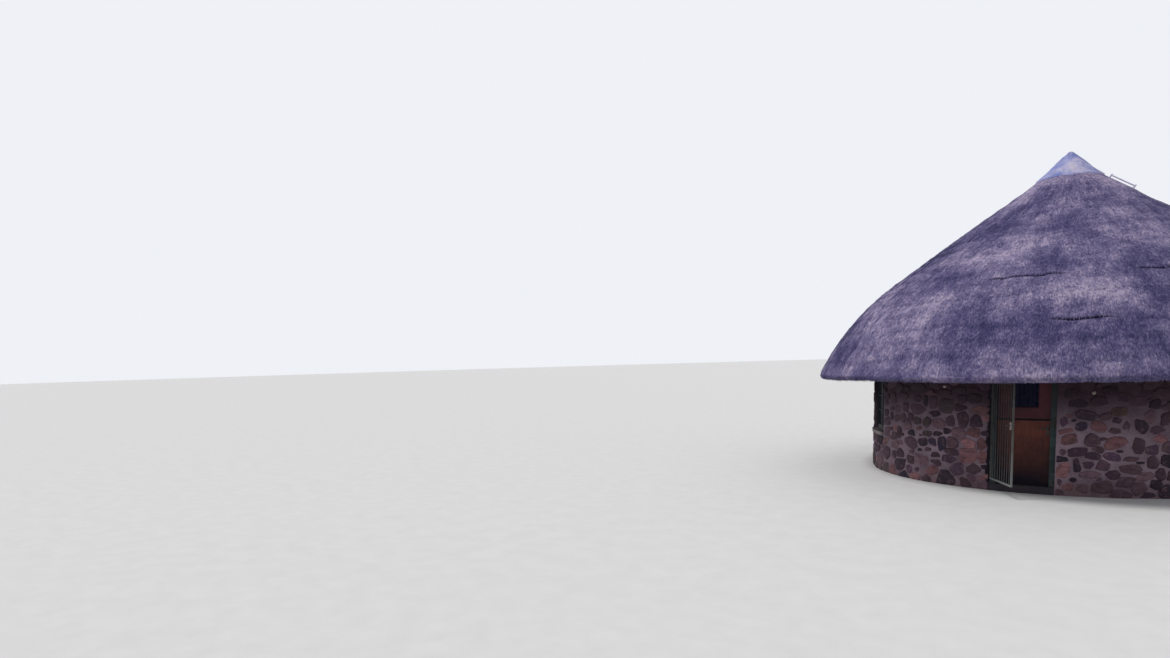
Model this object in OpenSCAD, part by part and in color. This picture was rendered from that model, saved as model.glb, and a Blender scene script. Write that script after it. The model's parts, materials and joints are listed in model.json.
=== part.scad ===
// Rondavel hut: a round rubble-stone room under a thick thatched cone roof.
// The roof stands on poles that run straight from a hub and bend down over the wall.
// Frame: origin on the ground at the hut's centre, +Z up, the door faces -Y.

/* [Wall] */
// Outer radius of the stone wall
wall_r = 3525; // [3275:25:3800]
// Thickness of the stone wall
wall_t = 350; // [300:10:420]
// Height of the stone wall, from the ground to the ring beam
wall_h = 2835; // [2700:5:3000]
// Height of the ring beam's outer face
beam_h = 85; // [70:5:120]
// Height of the floor above the ground
floor_t = 100; // [60:5:105]

/* [Roof] */
// Slope of the straight upper roof, in degrees
roof_pitch = 35.4; // [33:0.1:38]
// Slope of the roof where the eave's rounded edge begins, in degrees
eave_pitch = 63.4; // [61:0.1:65]
// How far the eave stands out from the wall
eave_overhang = 1145; // [1050:5:1250]
// Radius of the eave's trimmed outer edge
eave_round = 90; // [60:5:130]
// Thickness of the grass thatch, square to the slope
thatch_t = 300; // [260:5:330]

/* [Poles and laths] */
// Diameter of the roof poles
pole_d = 100; // [80:2:115]
// Diameter of the bent foot that each pole is spliced to
foot_d = 92; // [72:2:106]
// Number of long poles, and of the short poles between them
pole_count = 12; // [10:1:14]
// Radius at which the short poles begin
short_pole_r = 1300; // [1100:50:1600]
// Thickness of the laths across the poles
lath_t = 38; // [30:1:45]
// Width of a lath
lath_w = 38; // [30:1:50]
// Spacing of the laths along the slope
lath_step = 330; // [280:5:400]
// Radius of the sawn block in which the long poles meet
hub_r = 260; // [260:5:300]
// Radius of the king pole that stands on the block
king_r = 55; // [45:1:65]

/* [Cap] */
// Radius of the cap's rim
cap_r = 580; // [500:10:680]
// Rise of the cap from its rim to its tip
cap_rise = 565; // [500:5:620]
// Height of the cap's upright rim
cap_rim = 28; // [20:1:40]
// Thickness of the cap's shell
cap_t = 40; // [30:1:50]
// Radius of the rounded tip
cap_tip_r = 40; // [30:1:50]
// Length of the tie bar below the cap
tie_l = 490; // [400:10:560]
// Diameter of the tie bar
tie_d = 26; // [20:1:32]

/* [Door] */
// Width of a door leaf
leaf_w = 813; // [760:1:900]
// Height of the pair of leaves together
leaf_h = 2032; // [1980:1:2080]
// Thickness of a door leaf
leaf_t = 44; // [38:1:50]
// Height of the split between the leaves, above the threshold
split_h = 1115; // [1060:5:1180]
// Running gap round each leaf
leaf_gap = 5; // [5:0.5:8]
// Width of the frame's timber, seen from the front
jamb_w = 90; // [80:1:110]
// Depth of the frame's timber
jamb_d = 110; // [100:1:125]
// Width of the stop that a leaf closes against
stop_w = 12; // [10:1:16]
// Distance from the wall's corner back to the frame's face
frame_set = 33; // [20:1:50]
// Width of a leaf's stiles and rails
stile_w = 105; // [90:1:125]
// Depth of the sunk panels in a leaf's faces
panel_sink = 9; // [6:1:12]
// Width of the glass in the upper leaf
pane_w = 430; // [380:5:480]
// Height of the rail below that glass
pane_rail = 190; // [160:5:230]
// Height of the threshold
threshold_h = 120; // [112:1:140]
// Height of the lintels
lintel_h = 150; // [120:5:200]
// Bearing of a lintel on the wall each side
lintel_bearing = 200; // [150:10:260]

/* [Gate] */
// Width of the gate, from its pivot to the free edge
gate_w = 905; // [880:5:920]
// Gap between the gate's top and the eave that it swings out under
gate_clear = 18; // [12:1:60]
// Side of the gate's square tube
gate_tube = 25; // [20:1:30]
// Diameter of the gate's bars
gate_bar_d = 12; // [10:0.5:16]
// Number of the gate's bars
gate_bars = 8; // [5:1:9]
// Height of the gate's foot above the ground
gate_foot = 205; // [160:5:240]
// How wide the gate stands open at rest, in degrees
gate_open = 57; // [0:1:100]
// Height of the gate lock's middle above the ground
gate_lock_z = 1190; // [1130:5:1250]

/* [Windows] */
// Angle from the door to a window, round the wall, in degrees
window_angle = 61; // [54:1:70]
// Width of a window opening
window_w = 1200; // [1000:10:1300]
// Height of a window opening
window_h = 1100; // [900:10:1200]
// Height of the window head above the ground
window_head = 1900; // [1850:10:2000]
// Face width of a window frame's bars
window_bar = 50; // [40:1:60]
// Depth of a window frame
window_d = 70; // [60:1:90]
// Distance from the wall's corner back to a window frame
window_set = 60; // [40:5:90]
// Thickness of a window sill
sill_t = 70; // [60:5:90]
// How far a sill stands out past the wall
sill_out = 35; // [20:5:50]
// Thickness of the glass
glass_t = 5; // [4:0.5:6]

/* [Hidden] */
$fn = 96;
// Facets of the preview's widest curves
wide_fn = 360;

// The small gap that keeps seated curved pieces from cutting into each other
seat = 0.3;
// A reach that is longer than any cut needs, and how far a cut starts before a face
far = 9000;
over = 1;

// Wall
room_r = wall_r - wall_t;
window_turn = asin(window_w / 2 / wall_r);
side_end = (window_angle + 180) / 2;
// Turns that are wider than any opening, and that leave half a seat at a segment's end
wide_turn = 40;
end_turn = seat / 2 / room_r * 180 / PI;

// Roof: the outer thatch is a cone that runs on into a sphere about a point on the axis
eave_r = wall_r + eave_overhang;
bend_r = (eave_r - eave_round * (1 - sin(eave_pitch))) / sin(eave_pitch);
under_r = bend_r - thatch_t;
lath_r = under_r - seat;
pole_r = lath_r - lath_t - seat - pole_d / 2;
foot_r = pole_r + (pole_d - foot_d) / 2 - 2 * seat;
beam_r = foot_r - foot_d / 2 - seat;
bend_z = wall_h + beam_h - sqrt(beam_r * beam_r - wall_r * wall_r);
pole_end = eave_pitch - 3;
bend_steps = 8;
// The eave's trimmed edge turns to face straight down, and is cut level from there to the thatch's inner face
lip_end = 180;
lip_steps = 8;
lip_step = (lip_end - eave_pitch) / lip_steps;
eave_c = [(bend_r - eave_round) * sin(eave_pitch), bend_z + (bend_r - eave_round) * cos(eave_pitch)];
eave_low = eave_c[1] - eave_round;
under_end = acos((eave_low - bend_z) / under_r);
under_out = under_r / cos((under_end - roof_pitch) / 2 / bend_steps);

// A point at an angle from the axis on a sphere of the roof, as [radius, height]
function on_bend(r, a) = [r * sin(a), bend_z + r * cos(a)];
// The height at a radius on the straight slope that leaves such a sphere
function on_slope(r, at) = bend_z + r * cos(roof_pitch) + tan(roof_pitch) * (r * sin(roof_pitch) - at);
// The points of an arc about a centre, by the angle from upright
function arc(c, r, a0, a1, n) = [for (i = [0:n]) let (a = a0 + (a1 - a0) * i / n) c + r * [sin(a), cos(a)]];

hub_top = on_slope(pole_r, hub_r) + pole_d / 2 / cos(roof_pitch);
hub_low = hub_top - pole_d / cos(roof_pitch) - 30;
king_top = on_slope(bend_r, king_r) - 20;
// The bent foot of a pole is let into the straight pole by this many degrees
splice = 0.6;

// Door
gap_w = leaf_w + 2 * leaf_gap;
stop_gap = gap_w - 2 * stop_w;
frame_w = stop_gap + 2 * jamb_w;
leaf_foot = threshold_h + leaf_gap;
leaf_top = leaf_foot + leaf_h;
split_z = threshold_h + split_h;
frame_top = leaf_top + leaf_gap - stop_w + jamb_w;
frame_y = -sqrt(wall_r * wall_r - frame_w * frame_w / 4) + frame_set;
leaf_back = frame_y + jamb_d;
knuckle_r = 8;
knuckle_l = 32;
pin_r = 5;
leaf_pin = [-gap_w / 2 + leaf_gap / 2, leaf_back + knuckle_r + 2];
strap_t = 4;
strap_l = 330;
plate_l = 40;
hinge_in = 190;

// Gate
gate_pin_r = 6;
gate_eye_r = 12;
gate_eye_h = 40;
gate_pin = [-frame_w / 2 + 20, frame_y - frame_set - 22];
gate_stile = gate_eye_r + 8;
bar_step = (gate_w - gate_stile - gate_tube) / (gate_bars + 1);
gate_top = eave_low - gate_clear;
gate_h = gate_top - gate_foot;
gate_hinge_in = 260;
lug_w = 24;
lug_t = 8;
lug_plate = [24, 6, 75];
keep_t = 6;
keep_in = 34;
keep_w = 30;
keep_h = 150;
keep_slot = [40, 16, 60];
lock_w = 70;
lock_t = 40;
lock_h = 120;
lock_boss = 34;
lock_lever = [100, 12, 14];

// Window
window_foot = window_head - window_h;
window_face = wall_r * cos(window_turn) - window_set;
rebate = 12;
light_w = (window_w - 3 * window_bar) / 2;

// Door furniture
handle_x = leaf_w / 2 - stile_w / 2;
handle_z = leaf_foot + 960;
handle_plate = [40, 6, 150];
handle_lever = [124, 14, 16];
handle_out = 32;
handle_neck_r = 9;
bolt_plate = [44, 5, 140];
bolt_guide = [28, 16, 24];
bolt_r = 6;
bolt_up = 20;

// Cap
cap_foot = on_slope(bend_r, cap_r) + seat;
cap_slope = atan((cap_rise - cap_rim) / cap_r);
cap_tip_z = cap_foot + cap_rise - cap_tip_r / cos(cap_slope);
cap_in_r = cap_r - cap_t / sin(cap_slope);
cap_in_z = cap_foot + cap_rise - cap_t / cos(cap_slope);
tie_turn = 84;
tie_lift = 42;
tie_r = cap_r + 80;

// Laths: the lengths of slope and bend that they cover, and how far a flat lath would stand out of the bend
slope_l = (lath_r * sin(roof_pitch) - hub_r) / cos(roof_pitch);
bend_l = lath_r * (pole_end - roof_pitch) * PI / 180;
lath_sag = lath_r - sqrt(lath_r * lath_r - lath_w * lath_w / 4);

// Colours, as the photograph shows them
stone_colour = [0.45, 0.34, 0.31];
concrete_colour = [0.60, 0.57, 0.54];
green_colour = [0.14, 0.22, 0.18];
varnish_colour = [0.36, 0.19, 0.10];
steel_colour = [0.62, 0.62, 0.56];
iron_colour = [0.20, 0.20, 0.21];
thatch_colour = [0.50, 0.45, 0.44];
pole_colour = [0.42, 0.31, 0.22];
glass_colour = [0.10, 0.12, 0.15];
lock_colour = [0.80, 0.80, 0.78];
cap_colour = [0.80, 0.82, 0.86];

// Turns its children from the door, at -Y, round the wall towards +X
module round_to(a) rotate([0, 0, a]) children();

// A stretch of a ring from angle a0 to a1, between two radii and two heights
module ring_stretch(r0, r1, a0, a1, z0, z1)
    rotate([0, 0, a0 - 90]) rotate_extrude(angle = a1 - a0, $fn = wide_fn)
        translate([r0, z0]) square([r1 - r0, z1 - z0]);

// A block that faces -Y: its width, two distances from the axis and two heights
module block(w, y0, y1, z0, z1)
    translate([-w / 2, -y1, z0]) cube([w, y1 - y0, z1 - z0]);

// Such a block through the wall, where the door, a window or a lintel stands
module through_wall(w, z0, z1) block(w, room_r / 2, wall_r + 2 * sill_out + 100, z0, z1);
module door_block(z0, z1) through_wall(frame_w, z0, z1);
module window_block(side, z0, z1) round_to(side * window_angle) through_wall(window_w, z0, z1);
module door_lintel_block() through_wall(frame_w + 2 * lintel_bearing, frame_top, frame_top + lintel_h);
module window_lintel_block(side)
    round_to(side * window_angle)
        through_wall(window_w + 2 * lintel_bearing, window_head, window_head + lintel_h);

// A stretch of the wall about an angle, wide enough to be cut to any opening
module wall_about(a, r1, z0, z1) ring_stretch(room_r, r1, a - wide_turn, a + wide_turn, z0, z1);

// Walls
module wall_front(side)
    color(stone_colour) difference() {
        ring_from(side, 0, window_angle);
        door_block(-over, far);
        window_block(side, -over, far);
        door_lintel_block();
        window_lintel_block(side);
    }

module wall_over_door()
    color(stone_colour) intersection() {
        wall_about(0, wall_r, frame_top + lintel_h + seat, wall_h);
        door_block(0, far);
    }

module wall_under_window(side)
    color(stone_colour) intersection() {
        wall_about(side * window_angle, wall_r, 0, window_foot - sill_t - seat);
        window_block(side, 0, far);
    }

module wall_over_window(side)
    color(stone_colour) intersection() {
        wall_about(side * window_angle, wall_r, window_head + lintel_h + seat, wall_h);
        window_block(side, 0, far);
    }

module wall_side(side)
    color(stone_colour) difference() {
        ring_from(side, window_angle, side_end - end_turn);
        window_block(side, -over, far);
        window_lintel_block(side);
    }

module wall_back(side) color(stone_colour) ring_from(side, side_end + end_turn, 180 - end_turn);

// The full wall on one side of the door, between two angles
module ring_from(side, a0, a1)
    ring_stretch(room_r, wall_r, side > 0 ? a0 : -a1, side > 0 ? a1 : -a0, 0, wall_h);

module floor_screed() color(concrete_colour) cylinder(r = room_r - seat, h = floor_t);

// Ring beam: its top is raked to the poles that bend over it
module ring_beam()
    color(concrete_colour) rotate_extrude()
        polygon(concat([[room_r, wall_h + seat], [wall_r, wall_h + seat]],
                       [for (i = [0:4]) let (r = wall_r - i / 4 * wall_t)
                            [r, bend_z + sqrt(beam_r * beam_r - r * r)]]));

module threshold()
    color(concrete_colour) intersection() {
        wall_about(0, wall_r, 0, threshold_h);
        door_block(0, far);
    }

module door_lintel()
    color(concrete_colour) intersection() {
        wall_about(0, wall_r, 0, far);
        door_lintel_block();
    }

module window_lintels()
    color(concrete_colour) for (side = [-1, 1]) intersection() {
        wall_about(side * window_angle, wall_r, 0, far);
        window_lintel_block(side);
    }

// Door frame: two jambs and a head, with a stop that the leaves close against
module door_frame()
    color(green_colour) difference() {
        translate([-frame_w / 2, frame_y, threshold_h]) cube([frame_w, jamb_d, frame_top - threshold_h]);
        translate([-stop_gap / 2, frame_y - over, 0])
            cube([stop_gap, jamb_d + 2 * over, leaf_top + leaf_gap - stop_w]);
        translate([-gap_w / 2, leaf_back - leaf_t - leaf_gap, 0])
            cube([gap_w, leaf_t + leaf_gap + over, leaf_top + leaf_gap]);
    }

// Heights of a leaf's two hinges, from its foot and its top
function hinge_heights(z0, z1) = [z0 + hinge_in, z1 - hinge_in];

// The frame's half of each hinge: two knuckles, a pin through them and a plate on the jamb
module frame_hinge_pins()
    color(iron_colour)
        for (z = concat(hinge_heights(leaf_foot, split_z), hinge_heights(split_z + leaf_gap, leaf_top)))
            translate([leaf_pin[0], leaf_pin[1], z]) {
                for (s = [-1, 1])
                    translate([0, 0, s * (knuckle_l + seat) - knuckle_l / 2]) union() {
                        cylinder(r = knuckle_r, h = knuckle_l);
                        translate([-plate_l, leaf_back - leaf_pin[1], 0])
                            cube([plate_l - knuckle_r / 2, strap_t, knuckle_l]);
                        translate([-knuckle_r, leaf_back - leaf_pin[1], 0])
                            cube([knuckle_r, leaf_pin[1] - leaf_back, knuckle_l]);
                    }
                translate([0, 0, -knuckle_l / 2 - seat]) cylinder(r = pin_r, h = knuckle_l + 2 * seat);
            }

// The leaf's half: a knuckle round the pin and a long strap across the leaf's back
module leaf_hinges(z0, z1)
    color(iron_colour) for (z = hinge_heights(z0, z1))
        translate([leaf_pin[0], leaf_pin[1], z - knuckle_l / 2]) difference() {
            union() {
                cylinder(r = knuckle_r, h = knuckle_l);
                translate([leaf_gap, leaf_back - leaf_pin[1], 0])
                    cube([strap_l, strap_t, knuckle_l]);
                translate([0, leaf_back - leaf_pin[1], 0])
                    cube([knuckle_r, leaf_pin[1] - leaf_back, knuckle_l]);
            }
            translate([0, 0, -over]) cylinder(r = pin_r + seat, h = knuckle_l + 2 * over);
        }

// Lower leaf: stiles and rails round a sunk panel
module lower_leaf()
    color(varnish_colour) difference() {
        translate([-leaf_w / 2, leaf_back - leaf_t, leaf_foot]) cube([leaf_w, leaf_t, split_z - leaf_foot]);
        for (y = [leaf_back - leaf_t - over, leaf_back - panel_sink])
            translate([-leaf_w / 2 + stile_w, y, leaf_foot + 2 * stile_w])
                cube([leaf_w - 2 * stile_w, panel_sink + over, split_z - leaf_foot - 3 * stile_w]);
    }

// Upper leaf: one frame round a pane of glass
module upper_leaf()
    color(varnish_colour) difference() {
        translate([-leaf_w / 2, leaf_back - leaf_t, split_z + leaf_gap])
            cube([leaf_w, leaf_t, leaf_top - split_z - leaf_gap]);
        upper_pane_space(0, leaf_t / 2 + 2 * over, -over);
        upper_pane_space(rebate, leaf_t / 2 + over, leaf_t / 2);
    }

// A space for the pane: the glass size grown by an edge, a depth, and its start behind the leaf's face
module upper_pane_space(edge, depth, from)
    translate([-pane_w / 2 - edge, leaf_back - leaf_t + from, split_z + leaf_gap + pane_rail - edge])
        cube([pane_w + 2 * edge, depth, leaf_top - stile_w - split_z - leaf_gap - pane_rail + 2 * edge]);

module upper_leaf_glass()
    color(glass_colour) upper_pane_space(rebate, glass_t, leaf_t / 2);

// Lever handle: a plate, a neck and a lever on both faces of the lower leaf
module lower_leaf_handle()
    color(iron_colour) translate([handle_x, leaf_back - leaf_t / 2, handle_z]) for (face = [0, 1])
        mirror([0, face, 0]) translate([0, leaf_t / 2, 0]) union() {
            translate([-handle_plate[0] / 2, 0, -0.6 * handle_plate[2]]) cube(handle_plate);
            translate([0, handle_plate[1] / 2, 0]) rotate([-90, 0, 0])
                cylinder(r = handle_neck_r, h = handle_out + handle_lever[1] / 2);
            translate([handle_neck_r - handle_lever[0], handle_out, -handle_lever[2] / 2])
                cube(handle_lever);
        }

// Sliding bolt on the back of the upper leaf, drawn back at rest, in two guides on a plate
module upper_leaf_bolt()
    color(iron_colour) translate([handle_x, leaf_back, split_z + leaf_gap + bolt_up]) union() {
        translate([-bolt_plate[0] / 2, 0, 0]) cube(bolt_plate);
        for (z = [bolt_guide[2] / 2, bolt_plate[2] - 1.5 * bolt_guide[2]])
            translate([-bolt_guide[0] / 2, bolt_plate[1] - over, z]) cube(bolt_guide);
        translate([0, bolt_plate[1] + bolt_guide[1] / 2, bolt_r])
            cylinder(r = bolt_r, h = bolt_plate[2] - 2 * bolt_r);
    }

// Places what is drawn for the closed gate at the gate's resting angle
module gate_at_rest()
    translate([gate_pin[0], gate_pin[1], 0]) rotate([0, 0, -gate_open]) children();

function gate_hinge_heights() = [gate_foot + gate_hinge_in, gate_top - gate_hinge_in];

// Gate: a tube frame with upright bars let into its rails, and two eyes on its hinge stile
module gate_leaf()
    color(steel_colour) gate_at_rest() difference() {
        union() {
            for (x = [gate_stile, gate_w - gate_tube])
                translate([x, -gate_tube / 2, gate_foot]) cube([gate_tube, gate_tube, gate_h]);
            for (z = [gate_foot, gate_top - gate_tube])
                translate([gate_stile, -gate_tube / 2, z])
                    cube([gate_w - gate_stile, gate_tube, gate_tube]);
            for (i = [1:gate_bars])
                translate([gate_stile + gate_tube / 2 + i * bar_step, 0, gate_foot + gate_tube / 2])
                    cylinder(d = gate_bar_d, h = gate_h - gate_tube, $fn = 24);
            for (z = gate_hinge_heights()) {
                translate([0, 0, z]) cylinder(r = gate_eye_r, h = gate_eye_h);
                translate([0, -gate_eye_r / 2, z]) cube([gate_stile + over, gate_eye_r, gate_eye_h]);
            }
        }
        for (z = gate_hinge_heights())
            translate([0, 0, z - over]) cylinder(r = gate_pin_r + seat, h = gate_eye_h + 2 * over);
    }

// Gate lock: a box on the free stile's inner side, with a lever on both faces
module gate_lock()
    color(lock_colour) gate_at_rest() translate([gate_w - gate_tube, 0, gate_lock_z]) union() {
        translate([-lock_w, -lock_t / 2, -lock_h / 2]) cube([lock_w, lock_t, lock_h]);
        translate([-0.7 * lock_w, -lock_t / 2 - lock_boss, lock_lever[2] / 2]) rotate([-90, 0, 0])
            cylinder(r = 0.6 * lock_lever[2], h = lock_t + 2 * lock_boss);
        for (y = [-lock_t / 2 - lock_boss, lock_t / 2 + lock_boss - lock_lever[1]])
            translate([-0.55 * lock_w - lock_lever[0], y, 0]) cube(lock_lever);
    }

// Pintles: a lug from the jamb's face under each eye, with its upright pin
module gate_pintles()
    color(iron_colour) for (z = gate_hinge_heights())
        translate([gate_pin[0], gate_pin[1], z]) union() {
            translate([-lug_w / 2, -lug_w / 2, -lug_t - seat])
                cube([lug_w, frame_y - gate_pin[1] + lug_w / 2, lug_t]);
            translate([-lug_plate[0] / 2, frame_y - gate_pin[1] - lug_plate[1], -0.6 * lug_plate[2]])
                cube(lug_plate);
            translate([0, 0, -lug_t]) cylinder(r = gate_pin_r, h = lug_t + gate_eye_h + 5);
        }

// Keep: an angle on the other jamb that the lock's bolt enters
module gate_keep()
    color(iron_colour) translate([frame_w / 2 - keep_in, 0, gate_lock_z]) difference() {
        union() {
            translate([0, gate_pin[1] - gate_tube / 2, -keep_h / 2])
                cube([keep_t, frame_y - gate_pin[1] + gate_tube / 2, keep_h]);
            translate([0, frame_y - keep_t, -keep_h / 2]) cube([keep_w, keep_t, keep_h]);
        }
        translate([-keep_slot[0] / 2, gate_pin[1] - keep_slot[1] / 2, -keep_slot[2] / 2]) cube(keep_slot);
    }

// Window frame: an outer frame and a middle post, with a rebate behind for the glass
module window_frame(side)
    color(green_colour) round_to(side * window_angle) difference() {
        block(window_w, window_face - window_d, window_face, window_foot, window_head);
        for (s = [-1, 1]) {
            light(s, 0, -over, window_d + over);
            light(s, rebate, window_d / 2, window_d);
        }
    }

// The space of one light: its side, a grown edge, and how far behind the frame's face it runs
module light(s, edge, from, to)
    translate([s * (light_w + window_bar) / 2, 0, 0])
        block(light_w + 2 * edge, window_face - to, window_face - from,
              window_foot + window_bar - edge, window_head - window_bar + edge);

module window_glass()
    color(glass_colour) for (side = [-1, 1], s = [-1, 1])
        round_to(side * window_angle) light(s, rebate, window_d / 2, window_d / 2 + glass_t);

// Sills: each fills the opening under its frame and stands a little past the wall
module window_sills()
    color(concrete_colour) for (side = [-1, 1]) intersection() {
        wall_about(side * window_angle, wall_r + sill_out, window_foot - sill_t, window_foot);
        window_block(side, 0, far);
    }

// A pole in the plane y = 0: straight from the radius from_r, then its bent foot let into its end
module pole(from_r)
    difference() {
        union() {
            translate(at_height(on_bend(pole_r, roof_pitch))) rotate([0, -90 + roof_pitch, 0])
                cylinder(d = pole_d, h = (pole_r * sin(roof_pitch) - from_r) / cos(roof_pitch) + pole_d);
            translate([0, 0, bend_z]) rotate([90, 0, 0]) rotate([0, 0, 90 - pole_end])
                rotate_extrude(angle = pole_end - roof_pitch + splice)
                    translate([foot_r, 0]) circle(d = foot_d);
        }
        translate([0, 0, on_slope(pole_r, from_r) - far / 2]) cylinder(r = from_r, h = far);
    }

// A point given as [radius, height], in the plane y = 0
function at_height(p) = [p[0], 0, p[1]];

module long_rafters()
    color(pole_colour) for (i = [0:pole_count - 1])
        rotate([0, 0, (i + 0.5) * 360 / pole_count - 90]) pole(hub_r + seat);

module short_rafters()
    color(pole_colour) for (i = [0:pole_count - 1])
        rotate([0, 0, i * 360 / pole_count - 90]) pole(short_pole_r);

// Hub: a sawn block that the long poles butt against, and the king pole through the thatch
module rafter_hub()
    color(pole_colour) union() {
        translate([0, 0, hub_low]) cylinder(r = hub_r, h = hub_top - hub_low);
        translate([0, 0, hub_low]) cylinder(r = king_r, h = king_top - hub_low);
    }

// Laths: square rings across the poles, the upper ones on the slope and the rest on the bend
module laths()
    color(pole_colour) for (s = [lath_step:lath_step:slope_l + bend_l - lath_w])
        if (s < slope_l) lath(roof_pitch, hub_r + s * cos(roof_pitch));
        else lath(roof_pitch + (s - slope_l) / lath_r * 180 / PI, 0);

// One lath: on the slope at radius at, or on the bend where at is 0, with its top under the thatch
module lath(a, at)
    rotate_extrude() let (top = at > 0 ? [at, on_slope(lath_r, at)] : on_bend(lath_r, a), edge = lath_w / 2)
        polygon([for (p = [[-edge, -lath_sag], [edge, -lath_sag], [edge, -lath_t], [-edge, -lath_t]])
                     top + [p[0] * cos(a) + p[1] * sin(a), -p[0] * sin(a) + p[1] * cos(a)]]);

// Thatch: one sixth of the coat, from the king pole down to the trimmed eave
module thatch(part)
    color(thatch_colour) rotate([0, 0, part * 60 - 30 - 90]) rotate_extrude(angle = 60)
        polygon(concat([[king_r + seat, on_slope(bend_r, king_r + seat)]],
                       arc([0, bend_z], bend_r, roof_pitch, eave_pitch, bend_steps),
                       arc(eave_c, eave_round, eave_pitch + lip_step, lip_end, lip_steps - 1),
                       arc([0, bend_z], under_out, under_end, roof_pitch, bend_steps),
                       [[king_r + seat, on_slope(under_out, king_r + seat)]]));

// Cap: a trowelled cone shell that beds on the thatch
module cap()
    color(cap_colour) rotate_extrude()
        polygon(concat([[cap_r, cap_foot], [cap_r, cap_foot + cap_rim]],
                       arc([0, cap_tip_z], cap_tip_r, cap_slope, 0, 5),
                       [[0, cap_in_z], [cap_in_r, on_slope(bend_r, cap_in_r) + seat]]));

// Tie: a bar along the slope below the cap's right side, held off the thatch by a peg at each end
module cap_tie()
    color(steel_colour) rotate([0, 0, tie_turn - 90])
        translate([tie_r, 0, on_slope(bend_r, tie_r)]) rotate([0, 90 + roof_pitch, 0]) union() {
            translate([-tie_lift, 0, 0]) cylinder(d = tie_d, h = tie_l);
            for (z = [tie_d / 2, tie_l - tie_d / 2])
                translate([-tie_lift - tie_d, 0, z]) rotate([0, 90, 0])
                    cylinder(d = tie_d, h = tie_lift + tie_d - seat);
        }

wall_front(-1);  // wall_front_left
wall_front(1);  // wall_front_right
wall_over_door();
wall_under_window(-1);  // wall_under_left_window
wall_over_window(-1);  // wall_over_left_window
wall_under_window(1);  // wall_under_right_window
wall_over_window(1);  // wall_over_right_window
wall_side(-1);  // wall_side_left
wall_side(1);  // wall_side_right
wall_back(-1);  // wall_back_left
wall_back(1);  // wall_back_right
floor_screed();
ring_beam();
threshold();
door_lintel();
window_lintels();
door_frame();
frame_hinge_pins();
lower_leaf();
leaf_hinges(leaf_foot, split_z);  // lower_leaf_hinges
lower_leaf_handle();
upper_leaf();
leaf_hinges(split_z + leaf_gap, leaf_top);  // upper_leaf_hinges
upper_leaf_glass();
upper_leaf_bolt();
gate_leaf();
gate_lock();
gate_pintles();
gate_keep();
window_frame(-1);  // window_frame_left
window_frame(1);  // window_frame_right
window_glass();
window_sills();
rafter_hub();
long_rafters();
short_rafters();
laths();
thatch(0);  // thatch_front
thatch(1);  // thatch_front_right
thatch(2);  // thatch_back_right
thatch(3);  // thatch_back
thatch(4);  // thatch_back_left
thatch(5);  // thatch_front_left
cap();
cap_tie();
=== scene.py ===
"""Dresses the round stone hut: rubble walls, stable door, barred gate, bent roof poles and thatch."""
import json
from functools import partialmethod
import bpy
import numpy as np
from mathutils import Matrix, Vector
from numpy import (arange, array, clip, column_stack, concatenate, cos, linspace, maximum, minimum, pi,
                   radians, sin, stack, where)


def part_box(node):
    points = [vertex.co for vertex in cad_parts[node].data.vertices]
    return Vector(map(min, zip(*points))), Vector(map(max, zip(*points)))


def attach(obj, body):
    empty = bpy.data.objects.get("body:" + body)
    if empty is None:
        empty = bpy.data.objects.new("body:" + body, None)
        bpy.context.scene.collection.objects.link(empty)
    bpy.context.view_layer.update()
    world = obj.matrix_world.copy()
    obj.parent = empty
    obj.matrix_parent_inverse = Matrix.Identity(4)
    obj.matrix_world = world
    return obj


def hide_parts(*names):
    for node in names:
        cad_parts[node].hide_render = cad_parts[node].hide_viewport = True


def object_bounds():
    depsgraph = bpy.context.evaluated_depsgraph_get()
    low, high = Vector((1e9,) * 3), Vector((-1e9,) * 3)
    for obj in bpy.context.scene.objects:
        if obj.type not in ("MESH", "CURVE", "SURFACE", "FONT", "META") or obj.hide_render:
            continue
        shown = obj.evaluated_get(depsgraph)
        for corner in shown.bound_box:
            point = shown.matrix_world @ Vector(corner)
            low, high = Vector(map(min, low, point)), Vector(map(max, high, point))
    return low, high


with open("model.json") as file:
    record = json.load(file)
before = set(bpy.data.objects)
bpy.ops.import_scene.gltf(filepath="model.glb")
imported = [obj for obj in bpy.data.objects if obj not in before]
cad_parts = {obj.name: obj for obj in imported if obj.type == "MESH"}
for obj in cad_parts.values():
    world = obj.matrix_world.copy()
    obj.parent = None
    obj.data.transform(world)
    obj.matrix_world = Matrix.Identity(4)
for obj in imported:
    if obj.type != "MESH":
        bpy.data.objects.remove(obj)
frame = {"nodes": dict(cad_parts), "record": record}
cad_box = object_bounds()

scene = bpy.context.scene
nodes = frame["nodes"]

# Camera, ground and light
# The hut is seen from 18 m off and 2.4 m up, and it fills only the right of the picture, which is the upper
# part of a 4:3 one. The ground is a plain pale floor under a pale sky.
picture_w, middle_up = 1170, 0.0938
lens_px, sensor_w = 748.38, 36
eye = Vector((2.7482, -17.7143, 2.4271))
heading = Vector((-0.66115, 0.75026, 0.0))
pitch_up, roll_right = radians(-5.9334), radians(-1.6548)
ground_r, ground_sides, ground_sunk = 350.0, 64, 0.002

ahead = heading * cos(pitch_up) + Vector((0, 0, sin(pitch_up)))
level_right = heading.cross(Vector((0, 0, 1)))
level_up = level_right.cross(ahead)
right = level_right * cos(roll_right) + level_up * sin(roll_right)
up = right.cross(ahead)
camera = bpy.data.objects.new("camera", bpy.data.cameras.new("camera"))
camera.data.sensor_width = sensor_w
camera.data.lens = sensor_w * lens_px / picture_w
camera.data.shift_y = middle_up
camera.data.clip_end = 400
camera.matrix_world = Matrix.Translation(eye) @ Matrix((right, up, -ahead)).transposed().to_4x4()
scene.collection.objects.link(camera)
scene.camera = camera
scene.view_settings.view_transform = "Standard"


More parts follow.
